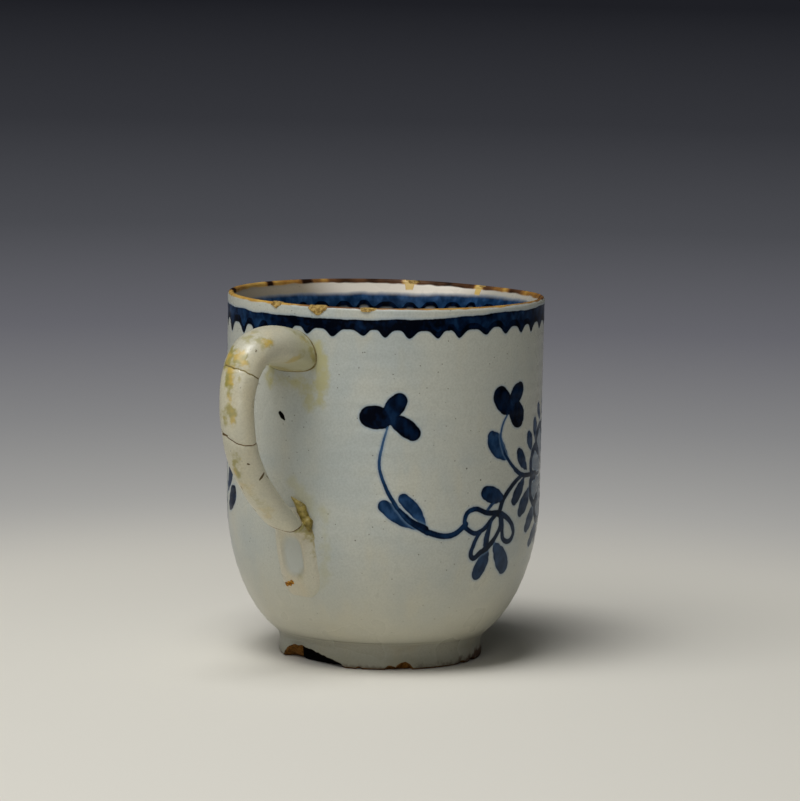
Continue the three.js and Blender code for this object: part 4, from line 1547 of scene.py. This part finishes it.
@dataclass
class Strap:
    """The handle's centreline and sections."""

    sizes: CupSizes
    root_below_rim: float = 10.1
    root_rise: float = 8.0
    reach: float = 16.0
    back_below_root: float = 8.3
    lower_bend_pull: float = 9.65
    landing_height: float = 26.8
    landing_standoff: float = 1.9
    landing_pull: float = 9.3
    landing_slope: float = 38.0
    stub_length: float = 6.0
    lean: float = 2.7
    root_half: Point2 = (5.3, 3.6)
    back_half: Point2 = (3.2, 2.1)
    stub_half: Point2 = (2.9, 2.0)
    dome: float = 0.25
    outer_squareness: float = 2.0
    inner_squareness: float = 2.8
    start_inside: float = 2.0

    def __post_init__(self) -> None:
        """Draws the centreline from the wall round to the landing, then straight on."""
        s = self.sizes
        self.root_height = s.height - self.root_below_rim
        back = (s.rim_radius + self.reach, self.root_height - self.back_below_root)
        landing = (float(s.wall_radius(self.landing_height)) + self.landing_standoff, self.landing_height)
        slope = radians(self.landing_slope)
        way = np.array([cos(slope), sin(slope)])
        pulled = tuple(np.array(landing) + way * self.landing_pull)
        end = tuple(np.array(landing) - way * self.stub_length)
        start = (float(s.wall_radius(self.root_height)) - self.start_inside, self.root_height)
        share = np.linspace(0, 1, 240)
        arch = bezier([start, (back[0], self.root_height + self.root_rise), back], share)
        lower = bezier([back, (back[0], back[1] - self.lower_bend_pull), pulled, landing], share)
        stub = bezier([landing, end], share)
        self.line = np.vstack([arch, lower[1:], stub[1:]])
        self.along = lengths_along(self.line)
        self.arch_length = self.along[len(share) - 1]
        self.lower_length = self.along[2 * (len(share) - 1)] - self.arch_length
        self.slopes = np.gradient(self.line, self.along, axis=0)

    def half_sizes(self, station: Array) -> tuple[Array, Array]:
        """Gives half the width and half the depth at stations along the centreline."""
        upper = smoothstep(station, 0, self.arch_length)
        lower = smoothstep(station, self.arch_length, self.arch_length + self.lower_length)
        sizes = [
            lerp(lerp(self.root_half[i], self.back_half[i], upper), self.stub_half[i], lower) for i in (0, 1)
        ]
        return sizes[0], sizes[1]

    def section(self, cosine: Array, sine: Array, radius: Array, half_width: Array,
                half_depth: Array) -> tuple[Array, Array]:
        """Gives places of the section, domed outside and flatter inside, as across and through."""
        outside = sine > 0
        power = 2 / np.where(outside, self.outer_squareness, self.inner_squareness)
        depth = np.where(outside, half_depth * (1 + self.dome), half_depth * (1 - self.dome))
        across = np.sign(cosine) * np.abs(cosine) ** power * half_width * radius
        return across, np.sign(sine) * np.abs(sine) ** power * depth * radius

    def beside(self, station: Array, across: Array, through: Array) -> Array:
        """Gives places beside the centreline."""
        point = [np.interp(station, self.along, self.line[:, i]) for i in (0, 1)]
        way = np.stack([np.interp(station, self.along, self.slopes[:, i]) for i in (0, 1)])
        way /= np.linalg.norm(way, axis=0)
        return self.upright(point[0] - way[1] * through, point[1] + way[0] * through, across)

    def upright(self, distance: Array, height: Array, sideways: Array) -> Array:
        """Puts places of the handle's plane in space, leaning over sideways."""
        lean = radians(self.lean)
        drop = height - self.root_height
        across = sideways * cos(lean) + drop * sin(lean)
        rise = drop * cos(lean) - sideways * sin(lean)
        return np.stack([-distance, across, self.root_height + rise], axis=-1)


def laid_flat(strap: Strap, places: Array) -> tuple[Array, Array]:
    """Undoes Strap.upright for places on the wall: gives how far sideways and how high they are."""
    lean = radians(strap.lean)
    drop = places[:, 2] - strap.root_height
    sideways = places[:, 1] * cos(lean) - drop * sin(lean)
    return sideways, strap.root_height + drop * cos(lean) + places[:, 1] * sin(lean)


def bar(sides: int, steps: int, cap_rings: int = 3) -> BMesh:
    """Makes a plain round bar of radius and length 1 along Z, divided along its length and on its ends."""
    shape = bmesh.new()
    bmesh.ops.create_cone(shape, cap_ends=True, segments=sides, radius1=1.0, radius2=1.0, depth=1.0)
    long_edges = [edge for edge in shape.edges if abs(edge.verts[0].co.z - edge.verts[1].co.z) > 0.5]
    bmesh.ops.subdivide_edges(shape, edges=long_edges, cuts=steps - 1, use_grid_fill=True)
    for _ in range(cap_rings):
        caps = [face for face in shape.faces if len(face.verts) == sides]
        bmesh.ops.inset_region(shape, faces=caps, thickness=0.8 / (cap_rings + 1), use_even_offset=True)
    return shape


def bar_places(shape: BMesh) -> tuple[Array, Array, Array, Array]:
    """Gives each vertex of a bar its share of the length, cosine, sine and distance from the axis."""
    x, y, z = corners(shape).T
    radius = np.maximum(np.hypot(x, y), 1e-6)
    return np.clip(0.5 - z, 0, 1), -x / radius, y / radius, np.minimum(radius, 1.0)


GIRTH_DEGREES = 18.0


def handle_marks() -> tuple[BrushMark, ...]:
    """Gives the overpaint, stains, pits and fine cracks of the mended handle, on the rolled-out strap.

    Each has its stations along the centreline with degrees round the strap, its widths and its load.
    """
    stains = (
        ([(15.4, 62), (17.5, 70), (19.1, 86), (20.4, 97)], (1.4, 2.4, 2.4, 1.6), 0.95),
        ([(17.2, 92), (17.2, 106), (17.6, 121)], (1.6, 2.0, 1.4), 0.9),
        ([(19.0, 72), (20.6, 80)], (1.1, 1.1), 1.0),
        ([(22.4, 90), (23.3, 102)], (0.8, 1.0), 0.8),
        ([(25.8, 78), (25.2, 98), (26.6, 114)], (1.6, 2.1, 1.2), 0.85),
        ([(33.4, 84), (34.9, 80)], (1.2, 1.3), 0.9),
        ([(13.4, 132), (13.2, 147)], (0.9, 1.3), 1.0),
        ([(14.6, 92), (14.0, 118), (14.2, 138)], (0.9, 0.6, 0.7), 0.6),
        ([(12.6, 98), (12.4, 116)], (0.6, 0.8), 0.45),
        ([(32.0, 109), (32.1, 112)], (0.9, 0.9), 0.7),
        ([(31.8, 123), (32.0, 126)], (0.7, 0.8), 0.7),
        ([(37.4, 92), (38.6, 100)], (1.6, 2.2), 0.35),
        ([(41.0, 104), (45.0, 112)], (1.2, 2.2), 0.3),
        ([(2.0, 268), (3.2, 286), (5.0, 288)], (2.0, 2.2, 1.2), 0.85),
        ([(7.1, 240), (6.9, 213), (5.4, 194)], (0.8, 1.0, 0.7), 0.7),
        ([(6.4, 128), (5.0, 150), (3.4, 172), (2.4, 196)], (0.6, 0.9, 0.9, 0.6), 0.8),
    )
    pits = (
        ([(15.5, 137), (15.6, 139)], (0.32, 0.32), 1.0),
        ([(33.6, 132), (33.8, 137)], (0.34, 0.34), 1.0),
        ([(36.7, 181), (37.2, 151)], (0.4, 0.55, 0.35), 1.0),
        ([(37.7, 188), (39.8, 211)], (0.26, 0.22), 1.0),
        ([(37.9, 70), (39.6, 66)], (0.24, 0.2), 1.0),
        ([(28.6, 52), (28.8, 80)], (0.5, 0.35), 1.0),
    )
    made = []
    for layer, table in ((PaintLayer.STAIN, stains), (PaintLayer.BLEMISH, pits)):
        for points, widths, load in table:
            flat = tuple((degrees / GIRTH_DEGREES, station) for station, degrees in points)
            made.append(BrushMark(flat, widths, (load, load), layer))
    return tuple(made)


@dataclass
class Fragment:
    """One glazed fragment of the handle, from break to break."""

    name: str
    place: Place
    strap: Strap
    start: Break | None
    end: Break
    marks: tuple[BrushMark, ...] = ()
    root_shade: float = 0.0
    sides: int = 88
    step: float = 0.28
    margin: float = 0.0
    wall_gap: float = 0.22
    lumps: float = 0.1

    def stations(self, share: Array, across: Array, through: Array) -> Array:
        """Gives the station of each place, so that both ends follow their breaks or the wall."""
        if self.start is None:
            first = self.wall_station(across, through, self.wall_gap)
        else:
            first = self.start.at(across, through)
        return lerp(first, self.end.at(across, through), share)

    def wall_station(self, across: Array, through: Array, gap: float) -> Array:
        """Finds where each line of the strap is at a distance from the wall."""
        low, high = np.zeros(len(across)), np.full(len(across), 12.0)
        for _ in range(24):
            middle = (low + high) / 2
            places = self.strap.beside(middle, across, through)
            wall = self.strap.sizes.wall_radius(places[:, 2]) + gap
            outside = np.hypot(places[:, 0], places[:, 1]) > wall
            high = np.where(outside, middle, high)
            low = np.where(outside, low, middle)
        return (low + high) / 2

    def build(self, bench: Bench, material: Material) -> Object:
        """Builds and dresses the fragment.

        Args:
            bench: Makes the piece.
            material: Its finish.

        Returns:
            The piece.
        """
        first = 2.0 if self.start is None else self.start.station
        length = self.end.station - first
        shape = bar(self.sides, max(1, round(length / self.step)))
        share, cosine, sine, radius = bar_places(shape)
        half_width, half_depth = self.strap.half_sizes(lerp(first, self.end.station, share))
        rounding = 1 - 0.035 * (1 - smoothstep(np.minimum(share, 1 - share) * length, 0.0, 0.35))
        across, through = self.strap.section(
            cosine, sine, radius, (half_width + self.margin) * rounding, (half_depth + self.margin) * rounding
        )
        station = self.stations(share, across, through)
        rough = self.strap.beside(station, across, through)
        swell = smooth_noise(rough, 4.5, 11) * self.lumps + smooth_noise(rough, 1.3, 12) * self.lumps * 0.25
        scale = 1 + swell / np.maximum(half_depth, 1.0)
        settle(shape, self.strap.beside(station, across * scale, through * scale))
        flat = np.stack([np.degrees(np.arctan2(sine, cosine)) % FULL_TURN / GIRTH_DEGREES, station], axis=1)
        painting = Painting(self.marks, FULL_TURN / GIRTH_DEGREES)
        stain_edge, stain_load = painting.coat(PaintLayer.STAIN, flat)
        return bench.finish(
            shape, self.name, self.place, material, crease=55.0,
            stain_edge=stain_edge,
            stain_load=stain_load,
            blemish_edge=painting.coat(PaintLayer.BLEMISH, flat)[0],
            chip_edge=np.where(radius < 0.97, -0.2, 0.4),
            # painted shade, with grime, darkens the arch near the wall
            shade=self.root_shade * smoothstep(station, 10.0, 4.0),
        )


@dataclass
class RootSeam(Fragment):
    """The layer of adhesive that holds the arch to the wall and follows its curve."""

    thickness: float = 0.27
    margin: float = 0.03
    wall_gap: float = -0.05
    lumps: float = 0.05

    def stations(self, share: Array, across: Array, through: Array) -> Array:
        """Gives stations between the wall and a face a little off it."""
        first, last = (self.wall_station(across, through, gap) for gap in (self.wall_gap, self.thickness))
        return lerp(first, last, share)


@dataclass
class Terminal:
    """The lower end of the handle: a short stub and the tail pressed on to the wall with the thumb."""

    strap: Strap
    start: Break
    rise: float = 3.4
    drop: float = 13.1
    middle: float = 0.75
    half_width: float = 4.05
    end_length: float = 4.6
    top_length: float = 6.0
    rim_width: float = 2.5
    slope_width: float = 2.6
    depth: float = 1.4
    hollow: Point2 = (0.75, 21.4)
    hollow_half: Point2 = (2.25, 3.9)
    hollow_floor: float = 0.35
    collar_dip: float = 0.85
    chip_lobes: tuple[tuple[float, float, float], ...] = (
        (3.6, 15.95, 0.46), (2.8, 16.15, 0.5), (2.05, 16.45, 0.44),
    )
    chip_depth: float = 0.3
    voxel: float = 0.14

    def tail(self) -> BMesh:
        """Makes the tail as a sheet laid on the wall and thickened down into it."""
        shape = bmesh.new()
        bmesh.ops.create_grid(shape, x_segments=80, y_segments=120, size=1.0)
        geometry = bmesh.ops.extrude_face_region(shape, geom=shape.faces[:])["geom"]
        raised = {item for item in geometry if isinstance(item, BMVert)}
        places = corners(shape)
        is_raised = np.array([vertex in raised for vertex in shape.verts])
        across = self.middle + places[:, 0] * (self.half_width + 0.9)
        top, bottom = self.strap.landing_height + self.rise, self.strap.landing_height - self.drop
        height = (top + bottom) / 2 + places[:, 1] * ((top - bottom) / 2 + 0.9)
        thick = np.where(is_raised, self.thickness(across, height), -1.1)
        radius = self.strap.sizes.wall_radius(height) + thick
        return settle(shape, self.strap.upright(np.sqrt(radius**2 - across**2), height, across))

    def thickness(self, across: Array, height: Array) -> Array:
        """Gives how far the tail stands out of the wall: raised sides about the thumb's hollow."""
        low, high = self.strap.landing_height - self.drop, self.strap.landing_height + self.rise
        left = np.maximum(0, 1 - (self.middle + self.half_width - across) / self.rim_width)
        right = np.maximum(0, 1 - (across - self.middle + self.half_width) / self.slope_width)
        foot = np.maximum(0, 1 - (height - low) / self.end_length)
        head = np.maximum(0, 1 - (high - height) / self.top_length)
        inward = 1 - left**4 - right**1.4 - foot**2.2 - head**2.2
        swell = self.depth * (0.62 + 0.38 * smoothstep(height, low, low + 9.0))
        body = np.where(inward > 0, swell * np.abs(inward) ** 0.7 - 0.1, np.maximum(inward * 2 - 0.1, -0.6))
        inside = 1 - smoothstep(self.hollow_gap(across, height), 0.7, 1.15)
        return lerp(body, np.minimum(body, self.hollow_floor), inside)

    def hollow_gap(self, across: Array, height: Array) -> Array:
        """Gives how far a place is from the middle of the thumb's hollow: 1 on its outline."""
        sides = [
            np.abs((value - middle) / half)
            for value, middle, half in zip((across, height), self.hollow, self.hollow_half)
        ]
        return (sides[0] ** 3 + sides[1] ** 3) ** (1 / 3)

    def chip_edge(self, across: Array, height: Array) -> Array:
        """Gives the distance to the edge of the small lobed chip at the foot of the tail."""
        return np.min([np.hypot(across - x, height - z) - r for x, z, r in self.chip_lobes], axis=0)

    def stub(self) -> BMesh:
        """Makes the short end of the strap between the last break and the wall."""
        shape = bar(64, 26)
        share, cosine, sine, radius = bar_places(shape)
        last = self.strap.along[-1] - 1.5
        half_width, half_depth = self.strap.half_sizes(lerp(self.start.station, last, share))
        flare = 1 + 0.3 * smoothstep(share, 0.15, 0.9)
        across, through = self.strap.section(cosine, sine, radius, half_width * flare, half_depth * flare)
        collar = 1 - self.collar_dip * smoothstep(share, 0.0, 0.5)
        through = np.where(through > 0, through * collar, through)
        station = lerp(self.start.at(across, through), last, share)
        return settle(shape, self.strap.beside(station, across, through))

    def fused(self) -> BMesh:
        """Joins stub and tail into one lump of clay with eased edges."""
        joined = self.tail()
        joined.from_mesh(as_mesh("stub", self.stub()))
        lump = linked("clay", as_mesh("clay", joined))
        fuse = lump.modifiers.new("fuse", "REMESH")
        fuse.mode = "VOXEL"
        fuse.voxel_size = self.voxel
        ease = lump.modifiers.new("ease", "SMOOTH")
        ease.factor = 0.5
        ease.iterations = 12
        graph = bpy.context.evaluated_depsgraph_get()
        mesh = bpy.data.meshes.new_from_object(lump.evaluated_get(graph))
        bpy.data.objects.remove(lump)
        shape = bmesh.new()
        shape.from_mesh(mesh)
        return shape

    def build(self, bench: Bench, material: Material) -> Object:
        """Builds the lump and dresses it: a darker hollow, a chip and crept adhesive.

        Args:
            bench: Makes the piece.
            material: Its finish.

        Returns:
            The piece.
        """
        shape = self.fused()
        places = corners(shape)
        lumps = smooth_noise(places, 3.0, 21) * 0.07 + smooth_noise(places, 0.9, 22) * 0.02
        outward = places.copy()
        outward[:, 2] = 0
        outward /= np.linalg.norm(outward, axis=1)[:, None]
        places += outward * lumps[:, None]
        across, height = laid_flat(self.strap, places)
        chip = self.chip_edge(across, height) + 0.05 * smooth_noise(places, 0.5, 23)
        places -= outward * (self.chip_depth * smoothstep(-chip, -0.05, 0.2))[:, None]
        place_corners(shape, places)
        stain = PaintLayer.STAIN
        stain_edge, stain_load = Painting([
            BrushMark(((-3.0, 28.0), (-3.6, 25.0), (-3.2, 22.4)), (1.2, 1.7, 1.0), (0.9, 0.8), stain),
            BrushMark(((1.2, 17.0), (0.4, 17.6), (-0.6, 18.6)), (0.5, 0.5, 0.3), (0.6, 0.2), stain),
        ]).coat(stain, np.stack([across, height], axis=1))
        return bench.finish(
            shape, "tail_pressed", Place("lower_terminal", "terminal_glaze"), material, crease=60.0,
            shade=0.8 * (1 - smoothstep(self.hollow_gap(across, height), 0.7, 1.1)),
            chip_edge=chip,
            stain_edge=stain_edge,
            stain_load=stain_load,
            blemish_edge=np.ones(len(places)),
        )


@dataclass
class Bead:
    """A bead of old adhesive squeezed out of the joint above the tail."""

    strap: Strap
    widths: tuple[float, ...] = (0.4, 0.8, 1.8, 1.8, 1.9, 2.1, 1.6)
    lifts: tuple[float, ...] = (0.3, 0.35, 0.4, 0.4, 0.4, 0.4, 0.4)
    line: tuple[Point2, ...] = (
        (5.3, 0.7), (4.5, -0.4), (3.7, -1.3), (2.25, -2.0), (1.2, -2.5), (0.3, -2.85), (-0.6, -3.3),
    )

    def build(self, bench: Bench, material: Material) -> Object:
        """Builds the bead."""
        shape = bar(28, 48, 2)
        x, y, z = corners(shape).T
        share = np.clip(0.5 - z, 0, 1)
        path = rounded_path(self.line)
        along = lengths_along(path)
        rise, side = (np.interp(share * along[-1], along, path[:, i]) for i in (0, 1))
        taper = np.sqrt(np.clip(1 - (2 * share - 1) ** 6, 0.02, 1))
        swell = 1 + 0.1 * np.sin(share * 17.0) + 0.06 * np.sin(share * 31.0 + 1.0)
        radius = eased(self.widths, share) / 2 * taper * swell
        height = self.strap.landing_height + rise - y * radius * 0.6
        sideways = side + y * radius * 0.8
        outward = self.strap.sizes.wall_radius(height) + eased(self.lifts, share) + x * radius * 0.8
        settle(shape, self.strap.upright(np.sqrt(outward**2 - sideways**2), height, sideways))
        return bench.finish(shape, "bead_olive", Place("lower_terminal_fill", "old_adhesive"), material)


@dataclass
class Handle:
    """The mended handle: three fragments, the tail and the adhesive between them."""

    sizes: CupSizes
    adhesive: float = 0.18
    upper_before_back: float = 7.5
    middle_after_back: float = 3.4
    lower_before_landing: float = 2.9
    root_shade: float = 0.75
    seam_overlap: float = 0.02

    def __post_init__(self) -> None:
        """Places the breaks along the centreline."""
        self.strap = Strap(self.sizes)
        back = self.strap.arch_length
        landing = back + self.strap.lower_length
        self.upper = Break(back - self.upper_before_back, -0.16, 0.0, 0.1, 2)
        self.middle = Break(back + self.middle_after_back, -0.5, 0.0, 0.07, 4)
        self.lower = Break(landing - self.lower_before_landing, -0.7, -0.4, 0.05, 7, 0.7, -1.8)

    def fragments(self) -> list[Fragment]:
        """Gives the three glazed fragments. The first starts at the wall, where it is darker: painted shade
        with grime.
        """
        marks = handle_marks()
        made = []
        for name, face, end in (
            ("arch", None, self.upper), ("back", self.upper, self.middle), ("lower", self.middle, self.lower)
        ):
            place = Place(f"handle_{name}_fragment", "handle_glaze")
            start = face.after(self.adhesive) if face else None
            shade = 0.0 if face else self.root_shade
            made.append(Fragment(f"{name}_glazed", place, self.strap, start, end, marks, shade))
        return made

    def seams(self) -> list[tuple[Fragment, Glue]]:
        """Gives the slices of adhesive, a little smaller than the strap, and the layer at the wall."""
        made = []
        for name, face, margin, glue in (
            ("upper", self.upper, 0.01, Glue.PALE),
            ("middle", self.middle, -0.03, Glue.DARK),
            ("lower", self.lower, -0.01, Glue.DARK),
        ):
            first, last = face.after(-self.seam_overlap), face.after(self.adhesive + self.seam_overlap)
            place = Place(f"{name}_crack_glue", "crack_adhesive")
            seam = Fragment(f"seam_{name}", place, self.strap, first, last, margin=margin, step=0.1)
            made.append((seam, glue))
        flat = Break(self.strap.start_inside + 0.9, 0.0, 0.0, 0.0)
        place = Place("upper_terminal_glue", "old_adhesive")
        return [*made, (RootSeam("seam_root", place, self.strap, None, flat), Glue.PALE)]

    def tail(self) -> Terminal:
        """Gives the tail below the last break."""
        return Terminal(self.strap, self.lower.after(self.adhesive))


@dataclass(frozen=True)
class Lamp:
    """A square soft box: its bearing and distance from the cup, its height, its size and its strength."""

    name: str
    bearing: float
    distance: float
    height: float
    size: float
    power: float
    colour: tuple[float, float, float]


@dataclass(frozen=True)
class Studio:
    """Floor, backdrop, lamps and the camera at the photograph's angle."""

    sizes: CupSizes
    view_bearing: float = -145.0
    view_distance: float = 700.0
    view_height: float = 133.4
    pitch: float = 0.1234
    yaw: float = 0.0040
    roll: float = 0.0186
    focal_pixels: float = 3856.1
    frame_pixels: float = 801.0
    sensor: float = 36.0
    floor_reach: float = 9000.0
    lamp_target: float = 33.0
    paper: Colour = (221, 218, 209)
    backdrop: Colour = (30, 31, 36)
    fill: tuple[float, ...] = (0.9, 0.95, 1.0, 1.0)
    fill_strength: float = 0.03
    lamps: tuple[Lamp, ...] = (
        Lamp("soft_box_left", 167.0, 420.0, 650.0, 480.0, 2.52, (1.0, 0.99, 0.97)),
        Lamp("soft_box_top", 187.0, 230.0, 800.0, 350.0, 3.1, (1.0, 1.0, 0.99)),
        Lamp("soft_box_front", 205.0, 700.0, 250.0, 400.0, 0.7, (1.0, 1.0, 1.0)),
    )

    def spot(self, bearing: float, distance: float, height: float) -> Vector:
        """Gives a place in metres from its bearing and distance from the cup and its height."""
        around = radians(bearing)
        x = self.sizes.axis_x + distance * cos(around)
        return Vector((x, distance * sin(around), height)) * METRES

    def camera(self) -> None:
        """Makes the camera and points it as in the photograph."""
        around = radians(self.view_bearing)
        up = Vector((0, 0, 1))
        ahead = Vector((-cos(around), -sin(around), 0.0))
        right = ahead.cross(up)
        ahead = ahead * cos(self.yaw) + right * sin(self.yaw)
        right = ahead.cross(up)
        down = ahead * cos(self.pitch) - up * sin(self.pitch)
        above = right.cross(down)
        tilted = right * cos(self.roll) + above * sin(self.roll)
        above = above * cos(self.roll) - right * sin(self.roll)
        data = bpy.data.cameras.new("camera")
        data.sensor_width = self.sensor
        data.lens = self.sensor * self.focal_pixels / self.frame_pixels
        data.clip_start = 0.05
        data.clip_end = 50.0
        camera = linked("camera", data)
        turn = Matrix((tilted, above, -down)).transposed().to_4x4()
        spot = self.spot(self.view_bearing, self.view_distance, self.view_height)
        camera.matrix_world = Matrix.Translation(spot) @ turn
        bpy.context.scene.camera = camera

    def light(self) -> None:
        """Makes the lamps and an even, weak light from all round."""
        centre = self.spot(0.0, 0.0, self.lamp_target)
        for lamp in self.lamps:
            data = bpy.data.lights.new(lamp.name, "AREA")
            data.shape = "RECTANGLE"
            data.size = lamp.size * METRES
            data.size_y = lamp.size * METRES
            data.energy = lamp.power
            data.color = lamp.colour
            spot = self.spot(lamp.bearing, lamp.distance, lamp.height)
            turn = (centre - spot).to_track_quat("-Z", "Y").to_matrix().to_4x4()
            linked(lamp.name, data).matrix_world = Matrix.Translation(spot) @ turn
        self._world()

    def _world(self) -> None:
        """Makes the world: dark slate to the eye, an even grey as light."""
        world = bpy.data.worlds.new("studio")
        sheet = NodeSheet.emptied(world)
        fill = sheet.node("ShaderNodeBackground", self.fill, self.fill_strength)
        wall = sheet.node("ShaderNodeBackground", self.backdrop)
        mixed = sheet.node("ShaderNodeMixShader", self._seen(sheet), fill.outputs[0], wall.outputs[0])
        sheet.node("ShaderNodeOutputWorld", mixed.outputs[0])
        bpy.context.scene.world = world

    @staticmethod
    def _seen(sheet: NodeSheet) -> Socket:
        """Gives 1 for what the eye sees, straight or in a mirror or glass."""
        path = sheet.node("ShaderNodeLightPath").outputs
        seen = sheet.larger(path["Is Camera Ray"], path["Is Glossy Ray"])
        return sheet.larger(seen, path["Is Transmission Ray"])

    def floor(self) -> None:
        """Lays a wide pale floor whose far parts fall off, in painted light, into the dark backdrop."""
        shape = bmesh.new()
        bmesh.ops.create_circle(shape, cap_ends=True, segments=96, radius=self.floor_reach * METRES)
        bmesh.ops.translate(shape, verts=shape.verts, vec=(self.sizes.axis_x * METRES, 0, 0))
        floor = linked("floor", as_mesh("floor", shape))
        floor.data.materials.append(self._floor_finish())

    def _floor_finish(self) -> Material:
        """Makes the floor: paper, which behind the cup glows ever more weakly with its distance, as painted
        light and its falloff.
        """
        material = bpy.data.materials.new("paper_sweep")
        sheet = NodeSheet.emptied(material)
        raw = sheet.node("ShaderNodeTexCoord").outputs["Object"]
        centred = sheet.vector("SUBTRACT", raw, (self.sizes.axis_x * METRES, 0.0, 0.0))
        reach = sheet.vector("LENGTH", centred)
        far = sheet.times(sheet.math("LOGARITHM", sheet.larger(reach, 0.1), 10.0), 0.5)
        # painted light: the floor's tones as lit, falling off with distance, shown to the eye as a glow
        tones = sheet.ramp(sheet.plus(far, 0.5, clamp=True), [
            (0.0, (182, 180, 175)), (0.14, (161, 160, 157)), (0.26, (132, 132, 133)), (0.38, (101, 101, 107)),
            (0.5, (74, 75, 80)), (0.64, (52, 53, 58)), (0.88, self.backdrop),
        ])
        paper = sheet.node("ShaderNodeBsdfDiffuse", self.paper).outputs[0]
        painted_light_glow = sheet.node("ShaderNodeEmission", tones).outputs[0]
        around = radians(self.view_bearing)
        nearer = sheet.dot(centred, (cos(around), sin(around), 0.0))
        behind = sheet.minus(reach, sheet.larger(nearer, 0.0))
        blend = sheet.times(sheet.step(behind, 0.09, 0.2), self._seen(sheet))
        mixed = sheet.node("ShaderNodeMixShader", blend, paper, painted_light_glow)
        sheet.node("ShaderNodeOutputMaterial", mixed.outputs[0])
        return material


class Coat(Enum):
    """The glazes of the pieces, by their state."""

    BOWL = PaintedGlaze("painted_tin_glaze")
    FOOT = ClayGlaze(
        # painted shade: the shade colour darkens the foot towards its bottom
        "foot_glaze", body=(158, 156, 142), cool=(148, 149, 138), warm=(158, 148, 122), shade=(126, 125, 108),
        # the last colour is near-black: painted shadow in the broken-out gap
        overpaint=(84, 44, 10), creep=(60, 28, 5), clay=(128, 86, 34), soil=(74, 46, 18), pit_and_shadow=(5, 4, 3),
    )
    HANDLE = ClayGlaze(
        "cream_glaze", body=(198, 193, 170), cool=(188, 186, 168), warm=(202, 190, 156),
        # the shade colour is the darker olive of painted shade with grime where the arch meets the wall
        shade=(166, 163, 128), mirror=0.6,
    )
    TAIL = ClayGlaze(
        "tail_glaze", body=(198, 192, 172), cool=(190, 188, 170), warm=(200, 188, 158), shade=(180, 186, 182),
        overpaint=(156, 138, 82), clay=(214, 156, 46), soil=(126, 78, 16),
    )


def build_cup(sizes: CupSizes) -> None:
    """Builds and dresses every piece of the cup."""
    bench, effects, handle = Bench(sizes), Effects(sizes), Handle(sizes)
    finishes = {kind: kind.value.build(effects) for kind in (*Coat, *Glue)}
    Bowl(sizes).build(bench, finishes[Coat.BOWL])
    FootRing(sizes).build(bench, finishes[Coat.FOOT])
    for fragment in handle.fragments():
        fragment.build(bench, finishes[Coat.HANDLE])
    for seam, glue in handle.seams():
        seam.build(bench, finishes[glue])
    handle.tail().build(bench, finishes[Coat.TAIL])
    Bead(handle.strap).build(bench, finishes[Glue.OLIVE])


def main() -> None:
    """Builds the dressed cup in its studio."""
    logging.basicConfig(level=logging.INFO, format="%(message)s")
    bpy.context.scene.view_settings.view_transform = "Standard"
    sizes = CupSizes.from_frame()
    studio = Studio(sizes)
    studio.camera()
    studio.light()
    studio.floor()
    build_cup(sizes)


if __name__ == "__main__":
    main()
